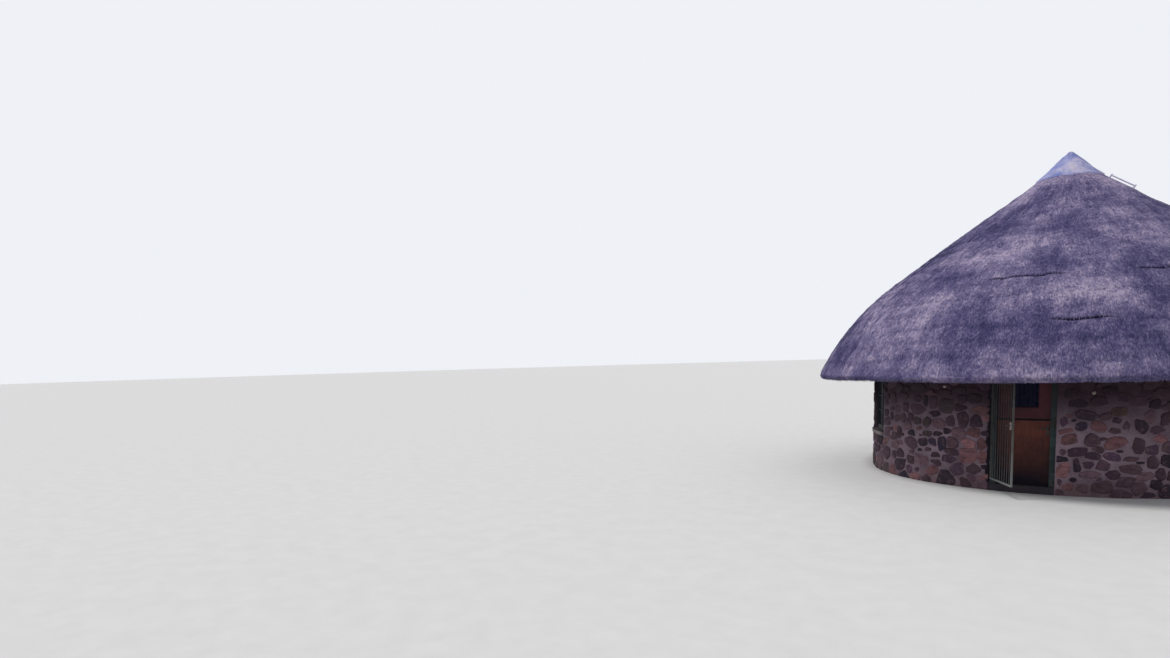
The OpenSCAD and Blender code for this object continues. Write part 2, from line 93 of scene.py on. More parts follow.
def place_sun(name, strength, spread, towards):
    """A sun whose light travels along the direction towards; spread is its width in degrees."""
    sun = bpy.data.objects.new(name, bpy.data.lights.new(name, "SUN"))
    sun.data.energy = strength
    sun.data.angle = radians(spread)
    sun.rotation_euler = Vector(towards).to_track_quat("-Z", "Y").to_euler()
    scene.collection.objects.link(sun)


place_sun("key_light", 2.4, 16, (0.42, 0.30, -0.86))
place_sun("fill_light", 0.22, 60, (-0.75, 0.45, -0.35))
place_sun("back_light", 0.50, 60, (0.10, -0.90, -0.45))


class Field:
    """A number or colour that varies from point to point: a node's output, on which sums make new nodes."""

    def __init__(self, tree, socket):
        self.tree = tree
        self.socket = socket

    def reckon(self, operation, other=0.0):
        return lay(self.tree, "Math", {"operation": operation}, {0: self, 1: other})

    __add__ = partialmethod(reckon, "ADD")
    __sub__ = partialmethod(reckon, "SUBTRACT")
    __mul__ = partialmethod(reckon, "MULTIPLY")
    __lt__ = partialmethod(reckon, "LESS_THAN")
    __gt__ = partialmethod(reckon, "GREATER_THAN")
    __abs__ = partialmethod(reckon, "ABSOLUTE")
    most = partialmethod(reckon, "MAXIMUM")

    def between(self, low, high, to_low=0.0, to_high=1.0):
        """Spreads what runs from low to high over to_low to to_high, and holds it there."""
        return lay(self.tree, "MapRange", ins={"Value": self, "From Min": low, "From Max": high,
                                               "To Min": to_low, "To Max": to_high})


def lay(tree, kind, settings=(), ins=(), out=0):
    """Adds a shader node with settings by name and inputs by name or number, and gives one of its outputs."""
    made = tree.nodes.new("ShaderNode" + kind)
    for name, value in dict(settings).items():
        setattr(made, name, value)
    for key, value in dict(ins).items():
        if isinstance(value, Field):
            tree.links.new(value.socket, made.inputs[key])
        else:
            made.inputs[key].default_value = value
    return Field(tree, made.outputs[out])


# The first sky lights the hut softly; the second is the plain backdrop where it is seen or mirrored
scene.world = bpy.data.worlds.new("pale_sky")
scene.world.use_nodes = True
sky = scene.world.node_tree
sky.nodes.remove(sky.nodes["Background"])
ambient, backdrop = (lay(sky, "Background", ins={"Color": colour, "Strength": strength})
                     for colour, strength in (((0.90, 0.93, 1.0, 1), 0.66), ((0.86, 0.88, 0.92, 1), 1.0)))
seen, shiny, clear = (lay(sky, "LightPath", out=f"Is {ray} Ray")
                      for ray in ("Camera", "Glossy", "Transmission"))
mixed = lay(sky, "MixShader", ins={0: seen.most(shiny).most(clear), 1: ambient, 2: backdrop})
sky.links.new(mixed.socket, sky.nodes["World Output"].inputs["Surface"])


class Finish:
    """A material in the making: its nodes, its shader and the place of a point on the hut, in metres."""

    def __init__(self, name, rough, metallic=0.0, specular=0.3):
        self.material = bpy.data.materials.new(name)
        self.material.use_nodes = True
        self.tree = self.material.node_tree
        self.sockets = self.tree.nodes["Principled BSDF"].inputs
        self.place = lay(self.tree, "TexCoord", out="Object")
        for key, value in (("Roughness", rough), ("Metallic", metallic), ("Specular IOR Level", specular)):
            self.sockets[key].default_value = value

    def axis(self, letter):
        """How far a point lies along X, Y or Z."""
        return lay(self.tree, "SeparateXYZ", ins={0: self.place}, out=letter)

    def value(self, name):
        """A value that the mesh holds at its points."""
        return lay(self.tree, "Attribute", {"attribute_name": name}, out="Fac")

    def mottle(self, scale, detail=4, rough=0.55, stretch=(1, 1, 1), place=None):
        """Cloudy noise, 0 to 1, at a scale in spots a metre, drawn out along any axis by stretch below 1."""
        spread = lay(self.tree, "Mapping", ins={"Vector": place or self.place, "Scale": stretch})
        return lay(self.tree, "TexNoise", ins={"Vector": spread, "Scale": scale, "Detail": detail,
                                               "Roughness": rough})

    def finished(self, colour, rough=None, height=None, depth=0.0, strength=0.6):
        """Joins a colour, a roughness and a relief, of a depth in metres, to the shader of the material."""
        if height is not None:
            height = lay(self.tree, "Bump", ins={"Height": height, "Distance": depth, "Strength": strength})
        for key, field in (("Base Color", colour), ("Roughness", rough), ("Normal", height)):
            if field is not None:
                self.tree.links.new(field.socket, self.sockets[key])
        return self.material


def shades(value, stops, step=False):
    """Turns a value into colour by stops of (place, colour), blended or in steps."""
    made = value.tree.nodes.new("ShaderNodeValToRGB")
    value.tree.links.new(value.socket, made.inputs["Fac"])
    band = made.color_ramp
    band.interpolation = "CONSTANT" if step else "LINEAR"
    while len(band.elements) < len(stops):
        band.elements.new(1.0)
    for element, (place, colour) in zip(band.elements, stops):
        element.position = place
        element.color = (*colour, 1)
    return Field(value.tree, made.outputs["Color"])


def full_turn(steps):
    """So many even angles once round."""
    return arange(steps) * 2 * pi / steps


def round_hut(angle, radius, height, aside=0.0):
    """Points at an angle a from the door, r out from the axis, a height and s aside, square to the way out:
    (r sin a + s cos a, s sin a - r cos a, z)."""
    across = radius * sin(angle) + aside * cos(angle)
    along = aside * sin(angle) - radius * cos(angle)
    return stack(np.broadcast_arrays(across, along, height), -1)


ground_mesh = bpy.data.meshes.new("ground")
ground_ring = round_hut(full_turn(ground_sides), ground_r, -ground_sunk)
ground_mesh.from_pydata(ground_ring.tolist(), [], [tuple(range(ground_sides))])
ground = bpy.data.objects.new("ground", ground_mesh)
scene.collection.objects.link(ground)
pale_floor = Finish("pale_floor", rough=0.9, specular=0.1)
floor_grey = shades(pale_floor.mottle(3.0), [(0.3, (0.50, 0.49, 0.48)), (0.7, (0.53, 0.52, 0.51))])
ground_mesh.materials.append(pale_floor.finished(floor_grey))

# Mortar and plaster
# The wall is a ring of rubble laid in mortar, 350 mm thick. Outside, the mortar fills wide joints between
# the stones; inside, the wall is plastered and painted. The wall's own solids carry both finishes.
wall_r, _, wall_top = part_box("wall_side_right")[1]
wall_t = 0.35
mortar_light, mortar_dark = (0.240, 0.173, 0.212), (0.100, 0.068, 0.087)
plaster_light, plaster_dark = (0.62, 0.57, 0.49), (0.50, 0.45, 0.38)
splash_brown, splash_top = (0.10, 0.055, 0.045), 0.35
# Painted shade: the wall's colour darkens from 0.95 m up towards the eave, where the eave's shade falls.
painted_eave_shade, eave_shade_rise = (0.024, 0.012, 0.019), (0.95, 1.68)
post_shade, post_side, post_face = (0.012, 0.009, 0.014), (-0.475, -0.455), -3.0


def over(share, under, top, kind="MIX"):
    """Lays the top colour over the under colour by a share, from 0 to 1."""
    tree = next(field.tree for field in (share, under) if isinstance(field, Field))
    under, top = (colour if isinstance(colour, Field) else (*colour, 1) for colour in (under, top))
    return lay(tree, "Mix", {"data_type": "RGBA", "blend_type": kind}, {0: share, 6: under, 7: top}, out=2)


def stained(body, *stains):
    """Lays stains over a colour: a value, the levels between which it comes in, its most and its colour."""
    for value, low, high, most, colour in stains:
        body = over(value.between(low, high, 0, most), body, colour)
    return body


def coat(names, finish):
    """Gives the named CAD nodes one finish."""
    for name in names:
        nodes[name].data.materials.clear()
        nodes[name].data.materials.append(finish)


def make_mortar():
    """Outside, mottled mortar with a splashed foot, painted shade under the eave, and shade behind the
    frame's post.
    """
    wall = Finish("mortar_and_plaster", rough=0.94, specular=0.15)
    across, along, height = (wall.axis(letter) for letter in "XYZ")
    cloudy, gritty = wall.mottle(2.2, 6), wall.mottle(55, 6, 0.7)
    mortar = shades(gritty * 0.4 + cloudy * 0.6, [(0.36, mortar_dark), (0.62, mortar_light)])
    mortar = over(height.between(splash_top, 0.0) * wall.mottle(6, 5), mortar, splash_brown)
    # painted shade under the eave
    mortar = stained(mortar, (height, *eave_shade_rise, 0.93, painted_eave_shade))
    ragged = wall.mottle(9, 5, 0.7) * 0.16 + across
    mortar = over(ragged.between(*post_side) * (across < 0) * (along < post_face), mortar, post_shade)
    plaster = shades(cloudy, [(0.35, plaster_dark), (0.65, plaster_light)])
    flat = lay(wall.tree, "VectorMath", {"operation": "MULTIPLY"}, {0: wall.place, 1: (1, 1, 0)})
    off_middle = lay(wall.tree, "VectorMath", {"operation": "LENGTH"}, {0: flat}, out="Value")
    outside = off_middle.between(wall_r - 0.6 * wall_t, wall_r - 0.55 * wall_t)
    lumps = (wall.mottle(14, 5) + gritty * 0.5) * (outside * 0.85 + 0.15)
    return wall.finished(over(outside, plaster, mortar), height=lumps, depth=0.02, strength=0.8)


coat([name for name in nodes if name.startswith("wall_")], make_mortar())

# Rubble stones
# Split field stones up to half a metre long, laid at random in wide joints and a little proud of the mortar.
# Each is a closed lump let into the wall. Those that can be made out beside the door keep their places.
stones_by_door = array((  # across, height, half width and half height in cm, tilt in degrees, kind
    (67, 93, 10, 9, 6, 0), (99, 92, 10, 9, -14, 3), (130, 89, 14, 9, 22, 1), (161, 85, 8, 12, 0, 3),
    (59, 72, 4, 5, 0, 3), (80, 73, 13, 7, 8, 4), (100, 67, 10, 6, 0, 4), (125, 67, 11, 6, -2, 4),
    (136, 75, 4, 2, 0, 5), (114, 95, 6, 2, 8, 3), (60, 43, 9, 12, 0, 0), (78, 51, 5, 10, 14, 5),
    (95, 52, 6, 5, 0, 4), (114, 52, 9, 7, -8, 3), (155, 63, 12, 3, 10, 2), (163, 57, 7, 2, 0, 5),
    (183, 58, 8, 9, 0, 3), (202, 60, 8, 9, -8, 5), (154, 47, 19, 7, -4, 2), (100, 37, 15, 5, 0, 2),
    (128, 37, 10, 7, 0, 4), (194, 39, 7, 9, 0, 3), (171, 35, 12, 7, 8, 2), (147, 26, 13, 8, 6, 3),
    (188, 22, 8, 7, 8, 5), (56, 22, 3, 5, 0, 3), (68, 15, 7, 6, 0, 1), (87, 14, 7, 6, -6, 2),
    (114, 15, 13, 10, 0, 2), (141, 7, 14, 7, -6, 3), (165, 17, 10, 9, 14, 2), (177, 6, 11, 4, 0, 5),
    (204, 11, 11, 11, 0, 5), (89, 133, 16, 7, -10, 5), (83, 115, 7, 7, -12, 6), (107, 115, 10, 8, -6, 1),
    (133, 138, 10, 7, 0, 8), (175, 131, 7, 11, 0, 2), (144, 117, 4, 6, 0, 3), (165, 114, 8, 10, 8, 5),
    (78, 152, 12, 6, -6, 5), (105, 156, 10, 7, 0, 3), (191, 96, 9, 6, -12, 1), (180, 77, 8, 7, 0, 4),
    (202, 82, 7, 8, 0, 2), (59, 122, 5, 8, 0, 4), (181, 150, 7, 7, 0, 5), (158, 155, 11, 7, 0, 3),
    (139, 161, 9, 6, 0, 5), (69, 169, 10, 6, 0, 3), (119, 172, 9, 6, 0, 5), (198, 127, 7, 9, 0, 3),
    (128, 108, 7, 4, 0, 2), (-64, 138, 14, 8, 12, 1), (-73, 119, 9, 10, 0, 4), (-95, 120, 9, 14, 0, 3),
    (-77, 99, 10, 7, 0, 1), (-103, 95, 12, 10, 0, 2), (-125, 98, 7, 5, 0, 5), (-145, 92, 9, 4, 6, 5),
    (-57, 98, 6, 4, 0, 5), (-115, 78, 11, 9, -16, 2), (-136, 75, 8, 11, 0, 6), (-156, 76, 10, 6, -10, 6),
    (-180, 73, 12, 7, 0, 5), (-210, 70, 17, 10, 0, 3), (-62, 78, 8, 9, -8, 1), (-85, 79, 11, 8, 0, 0),
    (-85, 57, 15, 12, 0, 0), (-116, 61, 13, 6, -8, 3), (-121, 47, 13, 7, 0, 4), (-106, 31, 12, 10, 14, 4),
    (-75, 34, 12, 9, -10, 2), (-61, 56, 7, 10, 8, 1), (-128, 143, 14, 12, 0, 7), (-151, 128, 11, 5, 0, 5),
    (-192, 134, 19, 9, 0, 3), (-194, 113, 9, 7, 0, 7), (-170, 111, 9, 9, 0, 7), (-144, 111, 14, 10, 0, 2),
    (-120, 117, 8, 9, 0, 3), (-193, 154, 9, 7, 0, 5), (-173, 151, 5, 9, 0, 5), (-156, 148, 8, 10, 0, 3),
    (-209, 89, 9, 5, 0, 5), (-98, 156, 8, 7, 0, 5), (-76, 158, 11, 8, 0, 3), (-246, 86, 7, 10, 0, 3),
    (-274, 116, 7, 8, 0, 5), (-299, 121, 8, 7, 0, 3), (-235, 115, 9, 8, 0, 3), (-57, 40, 5, 4, 0, 5),
    (-212, 118, 8, 7, 0, 3), (-253, 131, 10, 7, 0, 2), (-226, 136, 8, 8, 0, 3), (-105, 173, 11, 5, 0, 5),
    (-76, 173, 9, 4, 0, 3), (-130, 167, 11, 6, 0, 3), (-232, 157, 12, 7, 0, 3), (-271, 152, 11, 10, 0, 2),
    (-295, 85, 11, 10, 0, 3), (-169, 90, 11, 5, 0, 7),
)) / (100, 100, 100, 100, 1, 1)
stone_seed = 11
stone_sizes = ((0.150, 500), (0.115, 1300), (0.085, 2200), (0.060, 1900), (0.040, 900))
kind_shares = (0.08, 0.12, 0.20, 0.26, 0.13, 0.12, 0.02, 0.05, 0.02)
kind_colours = ((0.240, 0.112, 0.122), (0.160, 0.070, 0.078), (0.112, 0.062, 0.078), (0.068, 0.034, 0.050),
                (0.056, 0.028, 0.056), (0.018, 0.010, 0.022), (0.017, 0.013, 0.034), (0.056, 0.040, 0.044),
                (0.190, 0.112, 0.090))
joint, closer_by_door = (0.014, 0.036), 0.014
growth_by_door, growth_elsewhere = 1.14, 1.26
corner_power, box_power = 36.0, 2.6
stone_rays, neighbours = 24, 12
stone_rise, stone_sunk, ring_shares = (0.007, 0.024), 0.030, array([1.0, 0.965, 0.86, 0.48])
door_half = (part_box("door_frame")[1].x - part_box("door_frame")[0].x) / 2
lintel_low, (lintel_half, _, door_top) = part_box("door_lintel")[0].z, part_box("door_lintel")[1]
window_angle, window_w, lintel_past = radians(61), 1.2, 0.2
window_half = np.arcsin(window_w / 2 / wall_r) * wall_r
window_low, window_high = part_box("window_sills")[0].z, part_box("window_lintels")[0].z
window_lintel_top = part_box("window_lintels")[1].z
edge_gap, least_reach = 0.016, 0.004
lap = 2 * pi * wall_r


def ring_faces(here, there):
    """Two triangles for each step between rings of point numbers: here, here and there beside, and there."""
    here_next, there_next = np.roll(here, -1, axis=-1), np.roll(there, -1, axis=-1)
    return concatenate([stack([here, here_next, there_next], -1).reshape(-1, 3),
                        stack([here, there_next, there], -1).reshape(-1, 3)])


def stack_faces(rows, columns):
    """The triangles of a stack of rings, with a fan at each end to one of the two points after the rings."""
    ring = arange(rows * columns).reshape(rows, columns)
    beside = np.roll(ring, -1, axis=1)
    first, last = np.full(columns, ring.size), np.full(columns, ring.size + 1)
    return concatenate([ring_faces(ring[:-1], ring[1:]), stack([first, beside[0], ring[0]], 1),
                        stack([last, ring[-1], beside[-1]], 1)])


def solid_of_faces(name, points, one, finish, body="hut", values=(), uv=None, smooth=True):
    """A mesh of like lumps: points by lump, the triangles of one, values by point or lump, UV by corner."""
    count, each = points.shape[:2]
    faces = (one[None] + each * arange(count)[:, None, None]).reshape(-1, 3)
    mesh = bpy.data.meshes.new(name)
    mesh.vertices.add(count * each)
    mesh.vertices.foreach_set("co", points.astype(np.float32).ravel())
    mesh.loops.add(faces.size)
    mesh.loops.foreach_set("vertex_index", faces.astype(np.int32).ravel())
    mesh.polygons.add(len(faces))
    mesh.polygons.foreach_set("loop_start", arange(0, faces.size, 3, dtype=np.int32))
    mesh.polygons.foreach_set("use_smooth", np.full(len(faces), smooth))
    mesh.update(calc_edges=True)
    for key, value in dict(values).items():
        by_point = np.repeat(value, count * each // np.size(value)).astype(np.float32)
        mesh.attributes.new(key, "FLOAT", "POINT").data.foreach_set("value", by_point)
    if uv is not None:
        mesh.uv_layers.new(name="lay").data.foreach_set("uv", uv.astype(np.float32).ravel())
    mesh.validate()
    mesh.materials.append(finish)
    made = bpy.data.objects.new(name, mesh)
    scene.collection.objects.link(made)
    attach(made, body)
    return made


def reach_along(stones, facing):
    """How far stones reach from their middles in a direction, as rounded boxes of their half sizes:
    (|cos / half width| ^ p + |sin / half height| ^ p) ^ (-1 / p)."""
    wide, tall, tilt = stones.T[2:5]
    turned = facing - radians(tilt)
    summed = (abs(cos(turned)) / wide) ** box_power + (abs(sin(turned)) / tall) ** box_power
    return summed ** (-1 / box_power)


def away_from(stones, across, high):
    """The distance and direction from places to each stone, the short way round the wall."""
    off = (stones[:, 0] - across + lap / 2) % lap - lap / 2
    return np.hypot(off, stones[:, 1] - high), np.arctan2(stones[:, 1] - high, off)


def openings_flat():
    """The rectangles that stones keep out of: door, lintels and windows, as across and height limits."""
    rows = [(-door_half, door_half, -1, door_top), (-lintel_half, lintel_half, lintel_low, door_top)]
    for middle in (-window_angle * wall_r, window_angle * wall_r):
        for half, low, high in ((window_half, window_low, window_high),
                                (window_half + lintel_past, window_high, window_lintel_top)):
            rows.append((middle - half, middle + half, low, high))
    return array(rows)


def scatter_stones(rng):
    """Stones from big to small: a trial is kept where it is clear of the openings and of all before it."""
    kept = stones_by_door
    left, right_end, foot, head = (openings_flat() + array([-0.03, 0.03, -0.03, 0.03])).T
    for size, trials in stone_sizes:
        flat = rng.uniform(0.45, 1.0, trials)
        drawn = [rng.uniform(-lap / 2, lap / 2, trials), rng.uniform(0.03, wall_top - 0.02, trials),
                 size * rng.uniform(0.95, 1.35, trials), size * flat * rng.uniform(0.85, 1.15, trials),
                 rng.normal(0, 9, trials), rng.choice(len(kind_shares), trials, p=kind_shares)]
        for trial in column_stack(drawn):
            across, high = trial[:2]
            if ((across > left) & (across < right_end) & (high > foot) & (high < head)).any():
                continue
            span, facing = away_from(kept, across, high)
            if (span > 0.90 * (reach_along(kept, facing) + reach_along(trial[None], facing)) + 0.012).all():
                kept = np.vstack([kept, trial])
    return kept


def stone_outlines(stones, turns, rng):
    """Each outline is the smooth least distance to the lines round a stone: its own four sides and four cut
    corners, the joints with its neighbours, the openings and the wall's foot and top, as a power sum."""
    count = len(stones)
    across, high, wide, tall, tilt, _ = stones.T[:, :, None]
    tilt = radians(tilt)
    sides = tilt + arange(4) * pi / 2 + rng.normal(0, 0.16, (count, 4))
    diagonal = np.arctan2(wide, tall) + rng.normal(0, 0.26, (count, 4))
    corners = array([0, pi, pi, 2 * pi]) + array([1, -1, 1, -1]) * diagonal
    corner_reach = (wide * abs(cos(corners)) + tall * abs(sin(corners))) * rng.uniform(0.56, 1.04, (count, 4))
    growth = where(arange(count) < len(stones_by_door), growth_by_door, growth_elsewhere)[:, None]
    span, facing = away_from(stones, across, high)
    np.fill_diagonal(span, np.inf)
    near = np.argsort(span, axis=1)[:, :neighbours]
    span, facing = np.take_along_axis(span, near, 1), np.take_along_axis(facing, near, 1)
    own = reach_along(np.repeat(stones, neighbours, axis=0), facing.ravel()).reshape(near.shape)
    other = reach_along(stones[near.ravel()], facing.ravel() + pi).reshape(near.shape)
    joint_reach = span * own / (own + other) - rng.uniform(*joint, (count, 1)) / 2
    joint_reach[:len(stones_by_door)] += closer_by_door
    reach = [stones[:, [2, 3, 2, 3]] * growth, corner_reach * growth, joint_reach, high - 0.006,
             wall_top - 0.004 - high]
    facing = [sides, corners + tilt, facing, np.full(count, -pi / 2), np.full(count, pi / 2)]
    for left, right_end, foot, head in openings_flat():
        gaps = column_stack([left - across, across - right_end, foot - high, high - head])
        reach.append(maximum(gaps.max(1) - edge_gap, least_reach))
        facing.append(array([0.0, pi, pi / 2, -pi / 2])[gaps.argmax(1)])
    reach, facing = column_stack(reach), column_stack(facing)
    sight = clip(cos(turns[:, :, None] - facing[:, None, :]), 0, 1)
    ring = ((sight / maximum(reach, least_reach)[:, None, :]) ** corner_power).sum(2) ** (-1 / corner_power)
    return ring * (1 + rng.normal(0, 0.026, ring.shape))


def lay_stones(name, stones, ring, turns, rng, finish):
    """Each stone is a stack of rings of its outline: a sunk edge, a rim, a shoulder and an inner ring, with a
    back point and a crown. Its face is the lowest of its own height and of two planes that slope off it."""
    count = len(stones)
    rise = rng.uniform(*stone_rise, count)[:, None, None]
    off_across, off_high = (ring_shares[:, None] * (ring * wave(turns))[:, None, :] for wave in (cos, sin))
    across, high = stones[:, 0, None, None] + off_across, stones[:, 1, None, None] + off_high
    levels = rise * array([0, 0.66, 0.97, 1.0])[:, None]
    for _ in range(2):
        lean, way = abs(rng.normal(0, 0.16, count)), rng.uniform(0, 2 * pi, count)
        fall = off_across * (lean * cos(way))[:, None, None] + off_high * (lean * sin(way))[:, None, None]
        start = rng.uniform(0.25, 0.9, count)[:, None, None]
        levels = minimum(levels, maximum(rise * (1 + start) - maximum(fall, 0), 0.25 * rise))
    least = array([-1, 0.002, 0.003, 0.004])[:, None]
    levels = maximum(levels + rng.normal(0, 0.0018, levels.shape), least)
    levels[:, 0] = -0.004
    near_door = clip((abs(across) - door_half) / 0.25, 0.25, 1)
    levels = where((levels > 0) & (high < door_top + 0.1), levels * near_door, levels)
    ends = column_stack([np.full(count, -stone_sunk), levels[:, 3].mean(1) + 0.001])
    across, high, out = (concatenate([grid.reshape(count, -1), last], 1) for grid, last in
                         ((across, stones[:, [0, 0]]), (high, stones[:, [1, 1]]), (levels, ends)))
    return solid_of_faces(name, round_hut(across / wall_r, wall_r + out, maximum(high, 0.004)),
                          stack_faces(len(ring_shares), stone_rays), finish,
                          values={"tone": (stones[:, 5] + 0.5) / len(kind_shares),
                                  "shade": rng.uniform(0, 1, count)})


def make_stone():
    """One colour for each kind of stone, veined and freckled, darkened under the eave as painted shade, and
    lighter or darker stone by stone.
    """
    stone = Finish("field_stone", rough=0.82, specular=0.25)
    kinds = [(number / len(kind_colours), colour) for number, colour in enumerate(kind_colours)]
    veined, speckled = stone.mottle(9, 6, 0.65, (1, 1, 1.8)), stone.mottle(70, 4, 0.7)
    body = stained(shades(stone.value("tone"), kinds, step=True),
                   (veined, 0.44, 0.62, 0.62, (0.040, 0.021, 0.032)),
                   (stone.mottle(13, 6, 0.65), 0.52, 0.68, 0.40, (0.210, 0.125, 0.130)),
                   (speckled, 0.52, 0.72, 0.30, (0.200, 0.140, 0.150)),
                   (stone.axis("Z"), *eave_shade_rise, 0.80, painted_eave_shade))
    body = over(1.0, body, stone.value("shade") * 0.62 + 0.56, "MULTIPLY")
    return stone.finished(body, height=veined + speckled * 0.35, depth=0.012, strength=0.9)


field_stone = make_stone()
rng = np.random.default_rng(stone_seed)
stones = scatter_stones(rng)
even = full_turn(stone_rays)
turns = np.arctan2(stones[:, 3:4] * sin(even), stones[:, 2:3] * cos(even)) + radians(stones[:, 4:5])
outlines = stone_outlines(stones, turns, rng)
front = abs(stones[:, 0]) < lap / 4
for name, part in (("rubble_front", front), ("rubble_back", ~front)):
    lay_stones(name, stones[part], outlines[part], turns[part], rng, field_stone)

# Concrete
# The floor is a float-finished screed and the ring beam, lintels, sills and threshold are cast in rough
# boards. All are grey concrete, stained brown where feet and rain reach them.
concrete_light, concrete_dark = (0.30, 0.265, 0.255), (0.17, 0.145, 0.145)
# The threshold is painted nearly black, as the shade it stands in.
concrete_stain, painted_threshold_shade = (0.095, 0.060, 0.052), (0.010, 0.008, 0.015)
threshold_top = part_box("threshold")[1].z


def make_concrete():
    """Mottled grey with brown stains, painted nearly black on the threshold as the shade in the doorway."""
    cast = Finish("cast_concrete", rough=0.88, specular=0.2)
    cloudy, gritty = cast.mottle(3.0, 7), cast.mottle(90, 3, 0.7)
    body = shades(gritty * 0.35 + cloudy * 0.65, [(0.36, concrete_dark), (0.62, concrete_light)])
    body = stained(body, (cast.mottle(1.4, 5), 0.50, 0.72, 0.75, concrete_stain))
    threshold_in_shade = (cast.axis("Z") < threshold_top + 0.002) * (cast.axis("Y") < -wall_r + wall_t + 0.05)
    body = over(threshold_in_shade * 0.9, body, painted_threshold_shade)
    return cast.finished(body, height=cloudy + gritty, depth=0.006, strength=0.7)


coat(["floor_screed", "ring_beam", "threshold", "door_lintel", "window_lintels", "window_sills"],
     make_concrete())

# Timber frames
# The door frame and the two-light window frames are planed hardwood under many coats of dark green oil
# paint, chalky on the weather side and worn to the wood along the foot and the edges.
green_paint, green_chalk = (0.010, 0.020, 0.021), (0.034, 0.052, 0.052)
# The paint is darkened from 1.0 m up and on the window frames, as painted shade.
green_painted_shade, bare_wood = (0.008, 0.008, 0.012), (0.085, 0.060, 0.048)


def make_green_paint():
    """Green with chalky dust, darkened high up and on the windows away from the door as painted shade, and
    chipped to the wood.
    """
    paint = Finish("green_oil_paint", rough=0.48, specular=0.18)
    height = paint.axis("Z")
    grain, dust = paint.mottle(60, 4, 0.6, (1, 1, 0.06)), paint.mottle(5, 6, 0.6)
    body = stained(green_paint, (dust, 0.40, 0.68, 0.9, green_chalk),
                   (height, 1.0, 1.8, 0.85, green_painted_shade),
                   (abs(paint.axis("X")), 1.0, 1.5, 0.60, green_painted_shade))
    worn = height.between(0.55, 0.05) * paint.mottle(22, 5).between(0.52, 0.62)
    chipped = worn.most(paint.mottle(30, 5, 0.6, (1, 1, 0.4)).between(0.69, 0.71))
    return paint.finished(over(chipped, body, bare_wood), rough=dust * 0.35 + 0.30,
                          height=grain - chipped * 0.8, depth=0.0015, strength=0.7)


green = make_green_paint()
coat(["door_frame", "window_frame_left", "window_frame_right"], green)

# Window sashes and glazing bars
# Each window light holds a sash of four mitred rails, bevelled with putty towards the glass, and thin
# moulded bars that part it into six panes. They stand in front of the sheets, in the frame's rebate.
window_bar, window_face = 0.050, np.sqrt(wall_r ** 2 - (window_w / 2) ** 2) - 0.060
window_foot, window_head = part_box("window_frame_right")[0].z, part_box("window_frame_right")[1].z
light_w = (window_w - 3 * window_bar) / 2
glass_front = window_face - 0.035
sash_gap, bar_lap = 0.002, 0.03
sash_section = array([(0, 0.0005), (0.038, 0.0005), (0.038, 0.004), (0.034, 0.013), (0.029, 0.018),
                      (0.029, 0.027), (0.003, 0.027), (0, 0.024)])
bar_section = array([(-0.010, 0.0005), (0.010, 0.0005), (0.010, 0.004), (0.0045, 0.013), (0.0045, 0.022),
                     (-0.0045, 0.022), (-0.0045, 0.013), (-0.010, 0.004)])


def straight_mouldings(name, section, starts, ends, outs, finish, body="hut", mitre=0.0):
    """A section carried straight from each start to its end: its first number runs to the left of the way,
    seen from outside, and its second one outward. With a mitre of 1 both ends are cut at 45 degrees."""
    starts, ends, outs = (grid.reshape(-1, 3) for grid in np.broadcast_arrays(starts, ends, outs))
    way = (ends - starts) / np.linalg.norm(ends - starts, axis=1)[:, None]
    side = np.cross(outs, way)
    off = side[:, None] * section[:, :1] + outs[:, None] * section[:, 1:]
    cut = mitre * way[:, None] * section[:, :1]
    points = concatenate([starts[:, None] + off + cut, ends[:, None] + off - cut], 1)
    count = len(section)
    here, inner = arange(count), arange(1, count - 1)
    fan = stack([np.zeros_like(inner), inner + 1, inner], 1)
    one = concatenate([ring_faces(here, here + count), fan, fan[:, ::-1] + count])
    return solid_of_faces(name, points, one, finish, body=body, smooth=False)


light_turn = window_angle * array([-1, -1, 1, 1])[:, None]
light_middle = (light_w + window_bar) / 2 * array([-1, 1, -1, 1])[:, None]
low, high = window_foot + window_bar + sash_gap, window_head - window_bar - sash_gap
reach = light_w / 2 - sash_gap
square = array([(-1, 0), (1, 0), (1, 1), (-1, 1)])
corners = round_hut(light_turn, glass_front, low + (high - low) * square[:, 1],
                    light_middle + reach * square[:, 0])
outs = round_hut(light_turn, 1.0, 0.0)
straight_mouldings("window_sashes", sash_section, corners, np.roll(corners, -1, axis=1), outs, green,
                   mitre=1.0)
bar_ends = array([((0, 0), (0, 1)), ((-1, 1 / 3), (1, 1 / 3)), ((-1, 2 / 3), (1, 2 / 3))])
bar_lines = round_hut(light_turn[..., None], glass_front,
                      low + bar_lap + (high - low - 2 * bar_lap) * bar_ends[..., 1],
                      light_middle[..., None] + (reach - bar_lap) * bar_ends[..., 0])
straight_mouldings("glazing_bars", bar_section, bar_lines[:, :, 0], bar_lines[:, :, 1], outs, green)

# Door leaves
# The stable door's two leaves are framed hardwood under brown varnish. The upper one is redder and holds a
# pane; the lower one is orange brown at the top and darkens to a wet, dirty maroon at its foot.
leaf_low, leaf_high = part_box("lower_leaf")
stile = 0.105
varnish_orange, varnish_red = (0.118, 0.037, 0.026), (0.068, 0.020, 0.030)
# The split between the leaves is painted dark, as the shade in the gap.
varnish_foot, split_painted_shade = (0.004, 0.002, 0.007), (0.003, 0.002, 0.005)


